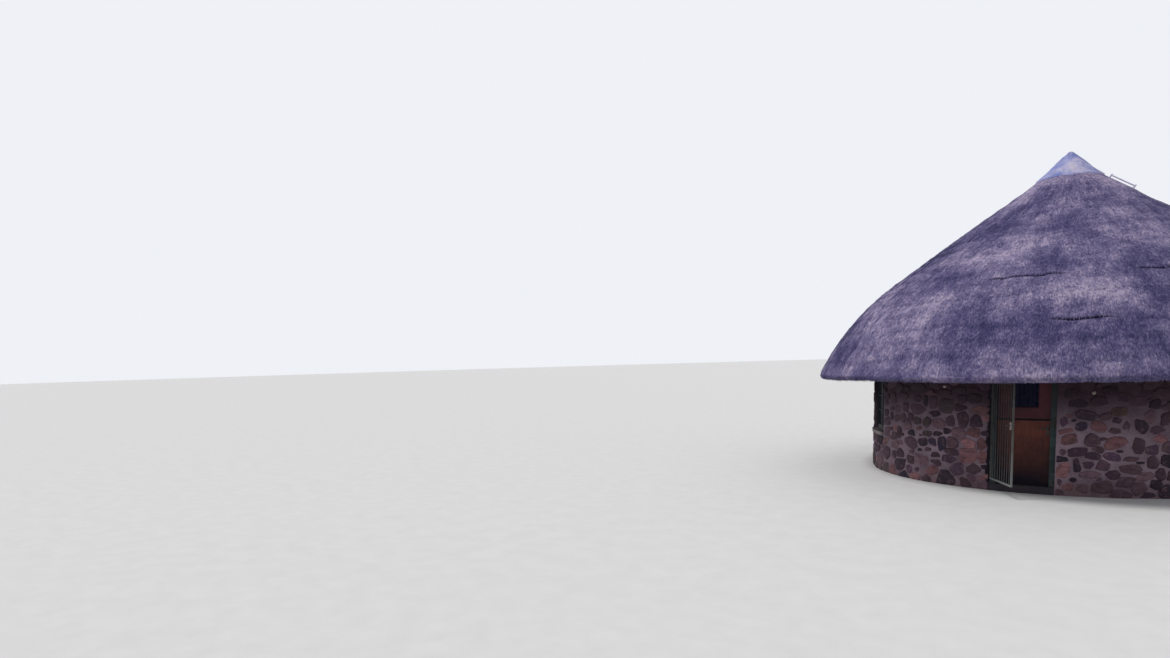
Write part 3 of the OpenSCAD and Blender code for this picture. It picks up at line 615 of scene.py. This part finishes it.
def make_varnish():
    """The grain runs upright on stiles and panels and level on the rails; dirt lies low, and shade is painted
    at the split.
    """
    wood = Finish("brown_varnish", rough=0.34, specular=0.12)
    height = wood.axis("Z")
    rails = (height < leaf_low.z + 2 * stile).most(height > leaf_high.z - stile)
    across = (abs(wood.axis("X")) < leaf_high.x - stile) * rails
    upright, level = wood.mottle(34, 7, 0.62, (1, 1, 0.14)), wood.mottle(26, 7, 0.62, (0.07, 1, 1))
    grain = lay(wood.tree, "Mix", {"data_type": "FLOAT"}, {0: across, 2: upright, 3: level})
    pores = wood.mottle(260, 2, 0.6, (1, 1, 0.05))
    body = stained(varnish_orange, (height, leaf_high.z - 0.02, leaf_high.z + 0.03, 1, varnish_red),
                   (grain, 0.42, 0.66, 0.55, (0.050, 0.016, 0.014)),
                   (wood.mottle(2.6, 4), 0.45, 0.62, 0.6, (0.040, 0.013, 0.018)),
                   (pores, 0.55, 0.70, 0.5, (0.020, 0.008, 0.006)),
                   (wood.mottle(3.0, 4) * 0.5 + height - 0.25, 1.00, 0.22, 1, varnish_foot),
                   (abs(height - leaf_high.z), 0.022, 0.012, 1, split_painted_shade))
    return wood.finished(body, rough=wood.mottle(8, 5) * 0.35 + 0.36, height=grain + pores * 0.5,
                         depth=0.0012, strength=0.6)


varnish = make_varnish()
coat(["lower_leaf", "upper_leaf"], varnish)

# Pane beads
# A quarter-round bead of the same wood holds the upper leaf's pane in its opening. It is mitred at the
# corners and stands 12 mm off the pane.
pane_low, pane_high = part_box("upper_leaf_glass")
pane_rebate = 0.012
bead_section = array([(-0.0005, 0.0005), (0.012, 0.0005), (0.012, 0.003), (0.009, 0.008), (0.004, 0.011),
                      (-0.0005, 0.012)])
bead_across = (pane_high.x - pane_low.x) / 2 - pane_rebate
bead_foot, bead_head = pane_low.z + pane_rebate, pane_high.z - pane_rebate
bead_corners = column_stack([(pane_low.x + pane_high.x) / 2 + bead_across * square[:, 0],
                             np.full(4, pane_low.y), where(square[:, 1] == 0, bead_foot, bead_head)])
straight_mouldings("pane_beads", bead_section, bead_corners, np.roll(bead_corners, -1, axis=0),
                   array((0.0, -1.0, 0.0)), varnish, body="upper_door", mitre=1.0)

# Glass
# One pane in the upper leaf and two sheets in each window, all clear float glass with dust in patches. The
# room behind is dark, and its shade is painted on them as deep blue-black.
def one_pattern(name, pattern, stops, rough, metallic=0.0, specular=0.3, dull=None, depth=None, strength=0.7):
    """A finish of one noise pattern, which gives its colour and, where stated, its dullness and relief."""
    made = Finish(name, rough, metallic, specular)
    spots = made.mottle(*pattern)
    return made.finished(shades(spots, stops), rough=spots.between(*dull) if dull else None,
                         height=spots if depth else None, depth=depth, strength=strength)


# Dust in patches over painted shade: the room's darkness behind the glass.
dust_and_room_shade_stops = [(0.42, (0.001, 0.002, 0.014)), (0.75, (0.012, 0.012, 0.028))]
coat(["upper_leaf_glass", "window_glass"],
     one_pattern("dark_pane", (7, 6, 0.62), dust_and_room_shade_stops, rough=0.06, specular=0.06,
                 dull=(0.45, 0.8, 0.04, 0.35)))

# Door irons
# Strap hinges, their pins, the lever handle, the bolt, the gate's pintles and the keep are forged iron in
# worn black paint, rusting where the paint has gone.
iron_nodes = ["frame_hinge_pins", "lower_leaf_hinges", "upper_leaf_hinges", "lower_leaf_handle",
              "upper_leaf_bolt", "gate_pintles", "gate_keep"]
iron_stops = [(0.45, (0.016, 0.016, 0.020)), (0.58, (0.045, 0.040, 0.040)), (0.68, (0.110, 0.045, 0.022))]
coat(iron_nodes, one_pattern("black_iron", (45, 6, 0.65), iron_stops, rough=0.5, metallic=0.35, specular=0.45,
                             dull=(0.40, 0.70, 0.35, 0.85), depth=0.0008))

# Security gate
# A welded square-tube frame with thin round bars, all in one grey-green paint. The free stile and the bottom
# rail show it pale, lighter towards the foot and darkened high up as painted shade; the bars are painted dark
# as the shade behind them, worn in streaks, and rust shows in patches on both. The lock case is dull zinc,
# and its levers are dark.
gate_joint = next(joint for joint in frame["record"]["behaviour"]["joints"] if joint["name"] == "gate_hinge")
gate_pin = gate_joint["pos_m"]
gate_open = radians(57)
gate_along = (cos(gate_open), -sin(gate_open), 0)
gate_across = (sin(gate_open), cos(gate_open), 0)
gate_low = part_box("gate_leaf")[0].z
gate_w, gate_tube, lock_half = 0.905, 0.025, 0.021
gate_paint, gate_foot, rust = (0.060, 0.056, 0.052), (0.160, 0.165, 0.160), (0.060, 0.028, 0.020)
# Painted shade: the bars are darkened as the shade behind them, and the paint high up as the eave's shade.
bar_painted_shade, bar_worn = (0.018, 0.019, 0.022), (0.040, 0.036, 0.036)
lever_dark = (0.060, 0.054, 0.052)


def along_gate(finish, way):
    """How far a point lies from the gate's pin in a direction."""
    off = lay(finish.tree, "VectorMath", {"operation": "SUBTRACT"}, {0: finish.place, 1: gate_pin})
    return lay(finish.tree, "VectorMath", {"operation": "DOT_PRODUCT"}, {0: off, 1: way}, out="Value")


def make_gate_paint():
    """Pale paint on the free stile and the bottom rail, lighter low down and darkened high up as painted
    shade; the bars painted dark as shade; and rust in patches on both.
    """
    paint = Finish("pale_gate_paint", rough=0.5, specular=0.25)
    height = paint.axis("Z")
    brushed, patch = paint.mottle(40, 5, 0.6, (1, 1, 0.08)), paint.mottle(9, 6, 0.62)
    pale = stained(gate_paint, (height, 1.10, 0.22, 0.85, gate_foot), (height, 1.25, 1.80, 0.50, bar_painted_shade))
    shaded_bars = stained(bar_painted_shade, (brushed, 0.40, 0.68, 1, bar_worn), (height, 0.90, 0.25, 0.22, gate_foot))
    stile_or_rail = ((along_gate(paint, gate_along) > gate_w - gate_tube - 0.002)
                     .most(height < gate_low + gate_tube + 0.002))
    body = stained(over(stile_or_rail, shaded_bars, pale), (patch, 0.60, 0.70, 0.7, rust))
    return paint.finished(body, rough=patch.between(0.40, 0.70, 0.38, 0.85), height=brushed + patch,
                          depth=0.0006, strength=0.7)


def make_zinc():
    """Spangled grey on the case, and dark on the levers, which stand out past the case's half thickness."""
    zinc = Finish("bright_zinc", rough=0.35, metallic=0.85)
    spangle = lay(zinc.tree, "TexVoronoi", ins={"Vector": zinc.place, "Scale": 160}, out="Color")
    grey = lay(zinc.tree, "RGBToBW", ins={0: spangle})
    case = shades(grey, [(0.2, (0.24, 0.22, 0.20)), (0.8, (0.38, 0.34, 0.30))])
    body = over(abs(along_gate(zinc, gate_across)) > lock_half, case, lever_dark)
    return zinc.finished(body, rough=zinc.mottle(60, 4).between(0.35, 0.7, 0.25, 0.55))


coat(["gate_leaf"], make_gate_paint())
coat(["gate_lock"], make_zinc())

# Lamp holders
# Two porcelain lamp holders, 56 mm across, are screwed to the wall under the eave, one to each side of the
# door. Each is a turned base with a short empty socket.
lamp_places = ((radians(15.96), 1.686), (radians(-21.43), 1.783))
lamp_section = array([(0.028, -0.012), (0.028, 0.008), (0.025, 0.012), (0.018, 0.015), (0.017, 0.032),
                      (0.014, 0.035), (0.009, 0.035), (0.008, 0.032), (0.008, 0.016)])
lamp_steps = 28


def turned_pieces(name, section, steps, places, finish):
    """A section of radius and height turned about an axis square to the wall, once at each angle and height,
    and closed by a point at its back and at its front."""
    turn = full_turn(steps)
    aside, rise = (np.append(np.outer(section[:, 0], wave), [0, 0]) for wave in (cos(turn), sin(turn)))
    out = wall_r + np.append(np.repeat(section[:, 1], steps), section[[0, -1], 1])
    angle, middle = array(places).T[:, :, None]
    return solid_of_faces(name, round_hut(angle, out, middle + rise, aside), stack_faces(len(section), steps),
                          finish)


grime_stops = [(0.42, (0.36, 0.31, 0.27)), (0.66, (0.14, 0.11, 0.10))]
porcelain = one_pattern("old_porcelain", (40, 5, 0.65), grime_stops, rough=0.35, specular=0.45,
                        depth=0.0004, strength=0.5)
turned_pieces("lamp_holders", lamp_section, lamp_steps, lamp_places, porcelain)

# Cap tie
# A round bar on two short legs that holds the thatch down beside the cap. It was painted pale grey with the
# cap, and rust shows through at its bends.
tie_stops = [(0.42, (0.40, 0.39, 0.52)), (0.60, (0.56, 0.53, 0.63)), (0.72, (0.20, 0.14, 0.16))]
coat(["cap_tie"], one_pattern("pale_tie_paint", (26, 6, 0.65), tie_stops, rough=0.6,
                              dull=(0.40, 0.75, 0.5, 0.9), depth=0.001))

# Roof poles and laths
# Peeled gum poles and split laths, never planed: brown grey, cracked along the grain, with dark knots.
# They show under the eave and from inside the room.
pole_stops = [(0.34, (0.055, 0.036, 0.026)), (0.52, (0.120, 0.080, 0.055)), (0.68, (0.185, 0.130, 0.092))]
pole = Finish("gum_pole", rough=0.8, specular=0.2)
streaky = pole.mottle(30, 6, 0.65, (0.25, 0.25, 1))
pole_brown = stained(shades(streaky, pole_stops),
                     (pole.mottle(5, 4, 0.5), 0.60, 0.72, 0.8, (0.028, 0.018, 0.014)))
coat(["rafter_hub", "long_rafters", "short_rafters", "laths"],
     pole.finished(pole_brown, height=streaky, depth=0.004, strength=0.8))

# Thatch coat
# Combed grass 300 mm thick, laid in courses from the eave up and stitched to the laths. The slope runs
# straight from the peak and bends over the wall, and the eave is cut level, with a short rounded edge.
roof_pitch, eave_pitch, lip_end = radians(35.4), radians(63.4), radians(180)
eave_round, thatch_t = 0.090, 0.300
king_r = 0.0555
eave_r = cad_box[1].x
bend_r = (eave_r - eave_round * (1 - sin(eave_pitch))) / sin(eave_pitch)
lip_middle_r = (bend_r - eave_round) * sin(eave_pitch)
lip_middle_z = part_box("thatch_front")[0].z + eave_round
bend_z = lip_middle_z - (bend_r - eave_round) * cos(eave_pitch)
under_r = bend_r - thatch_t + 0.004
slope_l = (bend_r * sin(roof_pitch) - king_r) / cos(roof_pitch)
bend_l = slope_l + bend_r * (eave_pitch - roof_pitch)
coat_l = bend_l + eave_round * (lip_end - eave_pitch)
under_end = np.arccos((lip_middle_z - eave_round - bend_z) / under_r)
cut_l = lip_middle_r - under_r * sin(under_end)
course, course_foot = 0.33, 0.84
seam_l, seam_lap = 14 * course, 0.16
upper_grid, eave_grid, lip_rows, cut_rows = (108, 480), (58, 900), 17, 9
thatch_seed = 5
sunk_least, sunk_most = 0.002, 0.055
cap_edge_l, cap_fade = (0.58 - king_r) / cos(roof_pitch), 0.35
tie_angle, tie_middle_r, tie_clear = 84, 0.86, (0.22, 0.30)
# Each groove: its radius, and the angles in degrees from the door between which it runs
grooves = ((3.412, -11.0, 9.5), (3.412, 23.5, 44.0), (4.130, 5.5, 18.5), (2.80, 60, 95), (3.85, -130, -96),
           (3.10, 150, 183))
groove_deep, groove_half, groove_fade = 0.060, 0.016, 4
groove_cuts = array([-0.034, -0.020, -0.010, 0.0, 0.010, 0.020, 0.034])
thatch_stops = [(0.40, (0.027, 0.024, 0.078)), (0.47, (0.070, 0.060, 0.142)), (0.53, (0.152, 0.128, 0.232)),
                (0.61, (0.385, 0.318, 0.430))]
# The cut face and the underside are painted darker, as the shade under the eave.
underside_shade_stops = [(0.38, (0.022, 0.016, 0.014)), (0.52, (0.075, 0.052, 0.038)), (0.64, (0.15, 0.11, 0.08))]
# The grooves are darkened in colour as well as cut: painted shade.
groove_painted_shade = (0.012, 0.010, 0.028)


def on_shell(along, start_r, shell_r):
    """A shell of the roof at a distance down it from start_r: straight, then its bend of radius shell_r over
    the wall. Gives radius, height and the outward direction's angle from upright."""
    past = along - (shell_r * sin(roof_pitch) - start_r) / cos(roof_pitch)
    facing = roof_pitch + maximum(past, 0) / shell_r
    down = minimum(past, 0)
    return (shell_r * sin(facing) + down * cos(roof_pitch),
            bend_z + shell_r * cos(facing) - down * sin(roof_pitch), facing)


def on_roof(along):
    """The trimmed outer line, as on_shell gives it: the outer shell, the rounded edge and the level cut."""
    lip_turn = minimum(eave_pitch + (along - bend_l) / eave_round, lip_end)
    lip = (lip_middle_r + eave_round * sin(lip_turn) - maximum(along - coat_l, 0),
           lip_middle_z + eave_round * cos(lip_turn), lip_turn)
    return [where(along < bend_l, shell, edge) for shell, edge in zip(on_shell(along, king_r, bend_r), lip)]


def draw_waves(rng, count, rounds, lengths):
    """Waves round and down the roof, each with a whole number of rounds, so that they close on themselves."""
    return [(rng.integers(*rounds), 2 * pi / rng.uniform(*lengths) * rng.choice([-1, 1]),
             rng.uniform(0, 2 * pi)) for _ in range(count)]


def sum_waves(drawn, angle, along):
    """The sum of drawn waves, about -1 to 1: each cos(n a + k l + start), over the root of their count."""
    waves = [cos(rounds * angle + slant * along + start) for rounds, slant, start in drawn]
    return sum(waves) / np.sqrt(len(drawn))


table_along = linspace(0, bend_l, 400)
groove_along = np.interp([groove[0] for groove in grooves], on_roof(table_along)[0], table_along)
groove_rows = (np.unique(groove_along)[:, None] + groove_cuts).ravel()
rng = np.random.default_rng(thatch_seed)
course_waves = draw_waves(rng, 8, (1, 12), (3.0, 9.0))
step_waves = draw_waves(rng, 6, (4, 40), (1.0, 4.0))
tuft_waves = draw_waves(rng, 24, (8, 90), (0.5, 2.5))
comb_waves = draw_waves(rng, 30, (80, 330), (0.5, 1.6))
sag_waves = draw_waves(rng, 10, (1, 9), (2.0, 7.0))


def degrees_from(middle, angle):
    """How many degrees an angle lies from a middle one, from -180 to 180."""
    return (np.degrees(angle) - middle + 180) % 360 - 180


def in_groove(angle, along):
    """How far a place lies in one of the grooves, from 0 to 1: a bell across each, faded at its two ends."""
    turned = degrees_from(0, angle)
    share = 0.0
    for (_, start, end), middle in zip(grooves, groove_along):
        ends = clip((turned - start) / groove_fade, 0, 1) * clip((end - turned) / groove_fade, 0, 1)
        share = share + ends * np.exp(-((along - middle - 0.012 * sin(0.7 * turned)) / groove_half) ** 2)
    return share


def sunk_thatch(angle, along):
    """How far the surface lies below the trimmed line: each course swells and tucks under at its foot,
    tufts rise and sink, and a few courses have slipped and left a groove. It fades out at the cap and tie."""
    fall = ((along + 0.05 * sum_waves(course_waves, angle, along)) / course) % 1.0
    swell = 0.006 * (1 - sin(pi * clip(fall / course_foot, 0, 1)))
    ragged = clip(0.5 + 0.5 * sum_waves(step_waves, angle, along), 0, 1)
    tuck = 0.010 * clip((fall - course_foot) / (1 - course_foot), 0, 1) * ragged
    tufts = 0.006 * sum_waves(tuft_waves, angle, along) + 0.004 * sum_waves(comb_waves, angle, along)
    sags = 0.010 * sum_waves(sag_waves, angle, along)
    sunk = clip(0.012 + swell + tuck + tufts + sags, sunk_least, sunk_most)
    sunk = sunk + groove_deep * in_groove(angle, along)
    radius = on_roof(along)[0]
    beside_tie = radians(degrees_from(tie_angle, angle)) * radius
    off_tie = (beside_tie / tie_clear[0]) ** 2 + ((radius - tie_middle_r) / tie_clear[1]) ** 2
    return sunk * clip((along - cap_edge_l) / cap_fade, 0.05, 1) * clip(off_tie - 0.6, 0.05, 1)


def place_on(angle, along, up):
    """Points at an angle round the roof, a distance down it and a height off the sunk surface."""
    radius, height, facing = on_roof(along)
    off = up - sunk_thatch(angle, along)
    return round_hut(angle, radius + off * sin(facing), height + off * cos(facing))


def loop_faces(rows, columns):
    """The triangles of rings that also close from the last one to the first."""
    ring = arange(rows * columns).reshape(rows, columns)
    return ring_faces(ring, np.roll(ring, -1, axis=0))[:, ::-1]


def close_coat(name, along, angle, under_line, finish, ends_sunk):
    """A coat is a closed band: rings of the outer surface at the distances along, then the under line. Its UV
    map runs down the slope in metres, and round each course in metres at that course's middle."""
    spread = np.broadcast_to(angle, along.shape)
    outer = place_on(spread, along, 0.0)
    for end, deep in ends_sunk:
        outer[end] = place_on(angle, along[end], -deep)
    points = concatenate([outer, round_hut(angle, under_line[:, :1], under_line[:, 1:])])
    rows, columns = points.shape[:2]
    faces = loop_faces(rows, columns)
    under_along = along[-1].max() + 0.2 * arange(1, len(under_line) + 1)[:, None] + np.zeros(columns)
    lie_down = concatenate([along, under_along])
    course_r = on_roof(minimum((np.floor(lie_down / course) + 0.5) * course, bend_l))[0]
    own_column = np.tile(arange(rows * columns) % columns, 2)[:, None]
    turned = angle[faces % columns] + 2 * pi * (faces % columns < own_column)
    uv = stack([turned * np.tile(course_r.ravel(), 2)[:, None], lie_down.ravel()[faces]], -1)
    blank = np.zeros(under_along.shape)
    inner = clip((along - coat_l - 0.01) / 0.04, 0, 1)
    shares = {"deep": sunk_thatch(spread, along) / sunk_most, "groove": in_groove(spread, along),
              "trimmed": clip((along - bend_l) / 0.06, 0, 1)}
    values = {key: concatenate([share, blank]) for key, share in shares.items()}
    values["inner"] = concatenate([inner, blank + 1])
    return solid_of_faces(name, points.reshape(1, -1, 3), faces, finish, values=values, uv=uv)


def make_thatch():
    """Strands, clumps and wisps drawn out down the slope, over pale and dark patches a metre across, which
    are partly weathering and partly painted dappled light and shade.
    """
    grass = Finish("combed_grass", rough=0.92, specular=0.12)
    lie = lay(grass.tree, "TexCoord", out="UV")
    strand = grass.mottle(110, 4, 0.7, (1, 0.09, 1), lie)
    clump = grass.mottle(34, 5, 0.72, (1, 0.50, 1), lie)
    wisps = grass.mottle(9, 6, 0.68, (1, 0.75, 1), lie)
    # The metre-wide patches are partly weathering and partly painted dappled light and shade.
    tone = strand * 0.18 + clump * 0.34 + wisps * 0.18 + grass.mottle(1.0, 7, 0.62) * 0.42 - 0.026
    # Sunk places are darker, as painted shade in the hollows.
    tone = tone - grass.value("deep") * 0.10 - grass.value("trimmed") * 0.01
    # The grooves are painted dark, as the shade in them.
    body = over(grass.value("groove"), shades(tone, thatch_stops), groove_painted_shade)
    # painted shade on the cut face and the underside
    body = over(grass.value("inner"), body, shades(tone, underside_shade_stops))
    return grass.finished(body, height=strand + clump + wisps, depth=0.020, strength=1.0)


grass_thatch = make_thatch()
upper_angle, eave_angle = full_turn(upper_grid[1]), full_turn(eave_grid[1])
seam_r = on_roof(array([seam_l]))[0][0]
upper_rows = concatenate([linspace(0, seam_l, upper_grid[0]), groove_rows[groove_rows < seam_l - 0.2]])
upper_rows = np.sort(upper_rows)[:, None]
upper_along = upper_rows + 0.03 * sum_waves(step_waves, upper_angle, seam_l) * (upper_rows / seam_l) ** 12
upper_along = np.vstack([upper_along, upper_along[-1:] + 0.001])
eave_rows = [linspace(seam_l - seam_lap, bend_l, eave_grid[0]), groove_rows[groove_rows > seam_l + 0.2],
             linspace(bend_l, coat_l, lip_rows)[1:], linspace(coat_l, coat_l + cut_l, cut_rows)[1:]]
eave_along = np.sort(concatenate(eave_rows))[:, None] + np.zeros(eave_grid[1])
under_turn = linspace(under_end - 0.004, np.arcsin(seam_r / bend_r), 6)
under_eave = column_stack([under_r * sin(under_turn), bend_z + under_r * cos(under_turn)])
under_slope_l = (under_r * sin(roof_pitch) - king_r) / cos(roof_pitch)
under_slope = column_stack(on_shell(linspace(under_slope_l, 0, 8), king_r, under_r)[:2])
upper_coat = close_coat("thatch_upper_coat", upper_along, upper_angle,
                        np.vstack([under_eave[-1:], under_slope]), grass_thatch, [(-1, 0.05)])
close_coat("thatch_eave_coat", eave_along, eave_angle, under_eave, grass_thatch,
           [(0, 0.05), (1, 0.035), (2, 0.02)])
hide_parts("thatch_front", "thatch_front_right", "thatch_back_right",
            "thatch_back", "thatch_back_left", "thatch_front_left")

# Twine ties
# Each lath is tied to every pole that it crosses with tarred twine, drawn slantwise over the lath and under
# the pole. A tie is a thin ring bent to an upright ellipse round both.
lath_step, lath_t, pole_d, hub_r, short_pole_r, poles = 0.330, 0.038, 0.100, 0.260, 1.300, 24
lath_r = bend_r - thatch_t - 0.0003
feet_pitch = eave_pitch - radians(3)
tie_half, tie_wide, twine_r = 0.0735, 0.080, 0.0028
tie_steps, twine_sides = 16, 6


def tie_places():
    """Where laths cross poles: the angle round the hut, then the radius, height and slope of the lath's top.
    The short poles, which are every second one, start further out."""
    straight_l = (lath_r * sin(roof_pitch) - hub_r) / cos(roof_pitch)
    along = arange(lath_step, straight_l + lath_r * (feet_pitch - roof_pitch) - lath_t, lath_step)
    radius, top, facing = on_shell(along, hub_r, lath_r)
    lath, pole = np.nonzero((arange(poles) % 2 == 1) | (radius[:, None] > short_pole_r + pole_d))
    return array([pole * pi * 2 / poles, radius[lath], top[lath], facing[lath]])


def ways_at(angle, facing):
    """The way round the roof and the way out of it, where it faces so far from upright."""
    return round_hut(angle, 0, 0, 1), round_hut(angle, sin(facing), cos(facing))


def tie_rings(name, finish):
    """Rings: a tube of few sides carried round an ellipse that stands across the slope at 45 degrees."""
    angle, radius, top, facing = tie_places()
    aside, out = ways_at(angle, facing)
    slant = aside + where(arange(len(angle)) % 2, 1, -1)[:, None] * np.cross(aside, out)
    slant = slant / np.linalg.norm(slant, axis=1)[:, None]
    points = (round_hut(angle, radius, top) - out * (lath_t + pole_d) / 2)[:, None]
    turn, tube = full_turn(tie_steps)[:, None], full_turn(twine_sides)
    for way, far in ((slant, (tie_wide + twine_r * cos(tube)) * cos(turn)),
                     (out, (tie_half + twine_r * cos(tube)) * sin(turn)),
                     (np.cross(slant, out), twine_r * sin(tube) + 0 * turn)):
        points = points + way[:, None] * far.reshape(-1, 1)
    return solid_of_faces(name, points, loop_faces(tie_steps, twine_sides), finish)


twine_stops = [(0.40, (0.020, 0.014, 0.010)), (0.65, (0.075, 0.052, 0.036))]
tie_rings("twine_ties", one_pattern("tarred_twine", (220, 3, 0.7), twine_stops, rough=0.8, specular=0.2,
                                    depth=0.001, strength=0.8))

# Straws
# The outermost straws of the coat, weathered to separate greys, lie down the slope and lift a little at
# their cut ends. Round the lip, the trimmed ends stand out as a rough fringe.
straw_count, fringe_count = 34000, 13000
straw_length, straw_width, straw_lift = (0.07, 0.22), (0.004, 0.009), (0.001, 0.009)
fringe_length, fringe_width = (0.015, 0.045), (0.004, 0.009)
gate_side_z, fringe_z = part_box("gate_leaf")[1].z + 0.006, lip_middle_z - eave_round - 0.030
gate_middle, gate_half = -5, 25
straw_stops = [(0.10, (0.031, 0.028, 0.086)), (0.45, (0.097, 0.085, 0.182)), (0.75, (0.236, 0.202, 0.338)),
               (1.0, (0.445, 0.380, 0.490))]


def straw_mesh(name, root, foot, ways, short_of, width, finish, tone):
    """Each straw is a thin tetrahedron: a flat edge at its root, and an edge on end at its foot. A foot that
    would come closer to the eave's reach than short_of is drawn in."""
    side, out = ways
    inward = minimum(1, (eave_r - short_of) / np.hypot(foot[:, 0], foot[:, 1]))
    foot = foot * column_stack([inward, inward, np.ones(len(foot))])
    half, thick = side * width[:, None] / 2, out * width[:, None] / 4
    return solid_of_faces(name, stack([root - half, root + half, foot + thick, foot - thick], 1),
                          array([[0, 2, 1], [0, 1, 3], [0, 3, 2], [1, 2, 3]]), finish,
                          values={"tone": tone}, smooth=False)


straw = Finish("loose_straw", rough=0.85, specular=0.2)
# The same metre-wide patches, partly weathering and partly painted dappled light and shade, set the straws'
# greys.
straw_level = straw.value("tone") * 0.5 + straw.mottle(1.0, 7, 0.62) * 1.6 - 0.55
loose_straw = straw.finished(shades(straw_level, straw_stops))
rng = np.random.default_rng(thatch_seed + 1)
share = rng.uniform(0, 1, straw_count) * 0.97 + 0.03 * rng.uniform(0, 1, straw_count)
along = cap_edge_l + 0.02 + (bend_l - 0.10 - cap_edge_l) * np.sqrt(share)
angle = rng.uniform(0, 2 * pi, straw_count)
length = rng.uniform(*straw_length, straw_count)
drift = rng.normal(0, 0.10, straw_count) * length / on_roof(along + length)[0]
foot = place_on(angle + drift, along + length, rng.uniform(*straw_lift, straw_count))
straw_mesh("loose_straws", place_on(angle, along, -0.003), foot, ways_at(angle, on_roof(along)[2]), 0.012,
           rng.uniform(*straw_width, straw_count), loose_straw, rng.uniform(0, 1, straw_count))

along = bend_l + eave_round * rng.uniform(0.2, 2.3, fringe_count)
angle = rng.uniform(0, 2 * pi, fringe_count)
side, out = ways_at(angle, on_roof(along)[2])
root = place_on(angle, along, -0.004)
stray = rng.normal(0, 1, fringe_count)[:, None]
way = np.cross(side, out) + array([0, 0, -0.7]) + 0.45 * out + 0.25 * stray * side
foot = root + way / np.linalg.norm(way, axis=1)[:, None] * rng.uniform(*fringe_length, fringe_count)[:, None]
lowest = where(abs(degrees_from(gate_middle, angle)) < gate_half, gate_side_z, fringe_z)
foot[:, 2] = maximum(foot[:, 2], lowest + rng.uniform(0, 0.012, fringe_count))
straw_mesh("eave_fringe", root, foot, (side, out), 0.010, rng.uniform(*fringe_width, fringe_count),
           loose_straw, rng.uniform(0, 0.8, fringe_count))

# Cap
# A hand-trowelled cement cone sealed over the peak and painted white long ago. It is lumpy, its rim wanders
# on the grass, and rain has left blue-grey streaks down its sides. Its blotches are partly weathering and
# partly painted shade, blue-grey, and painted light, pale pink.
cap_low, cap_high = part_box("cap")
cap_r, cap_foot, cap_rim, cap_tip_r = cap_high.x, cap_low.z, 0.028, 0.080
cap_slope = np.arctan2(cap_high.z - cap_foot - cap_rim + cap_tip_r * 0.4, cap_r)
cap_columns = 180
cap_seed = 8
lump_high, rim_wander = 0.011, 0.016
# The blue stops are painted shade and the pale pinkish one painted light, over weathered white paint.
cap_paint_and_shade_stops = [(0.38, (0.130, 0.160, 0.360)), (0.46, (0.215, 0.228, 0.420)), (0.54, (0.320, 0.308, 0.460)),
             (0.64, (0.430, 0.380, 0.460))]


def cap_profile():
    """Half the cap's section, as radius and height, from its tip out to the rim and back under: a rounded
    tip, a straight side, an upright rim and the bed on the grass."""
    turn = linspace(0, cap_slope, 7)
    tip = column_stack([cap_tip_r * sin(turn), cap_high.z - cap_tip_r + cap_tip_r * cos(turn)])
    side = tip[-1] + linspace(0, 1, 34)[1:, None] * (array([cap_r, cap_foot + cap_rim]) - tip[-1])
    rim = array([[cap_r, cap_foot + 0.4 * cap_rim], [cap_r - 0.006, cap_foot - 0.004]])
    bed = [[share * cap_r, cap_foot + rise * cap_r * np.tan(roof_pitch)]
           for share, rise in ((0.80, 0.19), (0.5, 0.5), (0.08, 0.92))]
    return concatenate([tip, side, rim, bed])


def make_cap_paint():
    """Blue-grey and pale blotches, partly weathering and partly painted shade and light, under streaks that
    run down and grit.
    """
    paint = Finish("old_white_paint", rough=0.8, specular=0.2)
    blotch_and_dapple, grit = paint.mottle(2.1, 6, 0.62), paint.mottle(60, 4, 0.7)
    streak = paint.mottle(14, 6, 0.65, (1, 1, 0.22))
    body = stained(shades(blotch_and_dapple, cap_paint_and_shade_stops), (streak, 0.50, 0.68, 0.6, (0.150, 0.145, 0.230)),
                   (grit, 0.55, 0.70, 0.4, (0.220, 0.195, 0.260)))
    return paint.finished(body, height=blotch_and_dapple + grit * 0.4, depth=0.012, strength=0.8)


profile = cap_profile()
profile_r, profile_z = profile[:, :1], profile[:, 1:]
rng = np.random.default_rng(cap_seed)
angle = full_turn(cap_columns)
lump_waves = draw_waves(rng, 18, (1, 14), (0.25, 1.2))
rim_waves = draw_waves(rng, 8, (2, 16), (1.0, 4.0))
far = linspace(0, 1, len(profile))[:, None]
lumps = lump_high * clip(sum_waves(lump_waves, angle, far) + 1, 0, 2) * clip(far * 6, 0, 1)
wander = rim_wander * clip(0.6 + 0.6 * sum_waves(rim_waves, angle, 0.0), 0, 1.5)
wander = wander * clip((profile_r / cap_r - 0.6) / 0.4, 0, 1)
cap_rings = round_hut(angle, maximum(profile_r - lumps * sin(cap_slope) - wander, 0),
                      profile_z - lumps * cos(cap_slope) + wander * 0.4)[1:]
cap_points = concatenate([cap_rings.reshape(-1, 3), [[0, 0, cap_high.z], [0, 0, profile[-1, 1]]]])
cap_faces = stack_faces(len(cap_rings), cap_columns)[:, ::-1]
trowelled_cap = solid_of_faces("trowelled_cap", cap_points[None], cap_faces, make_cap_paint())
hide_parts("cap")

scene.frame_set(1)
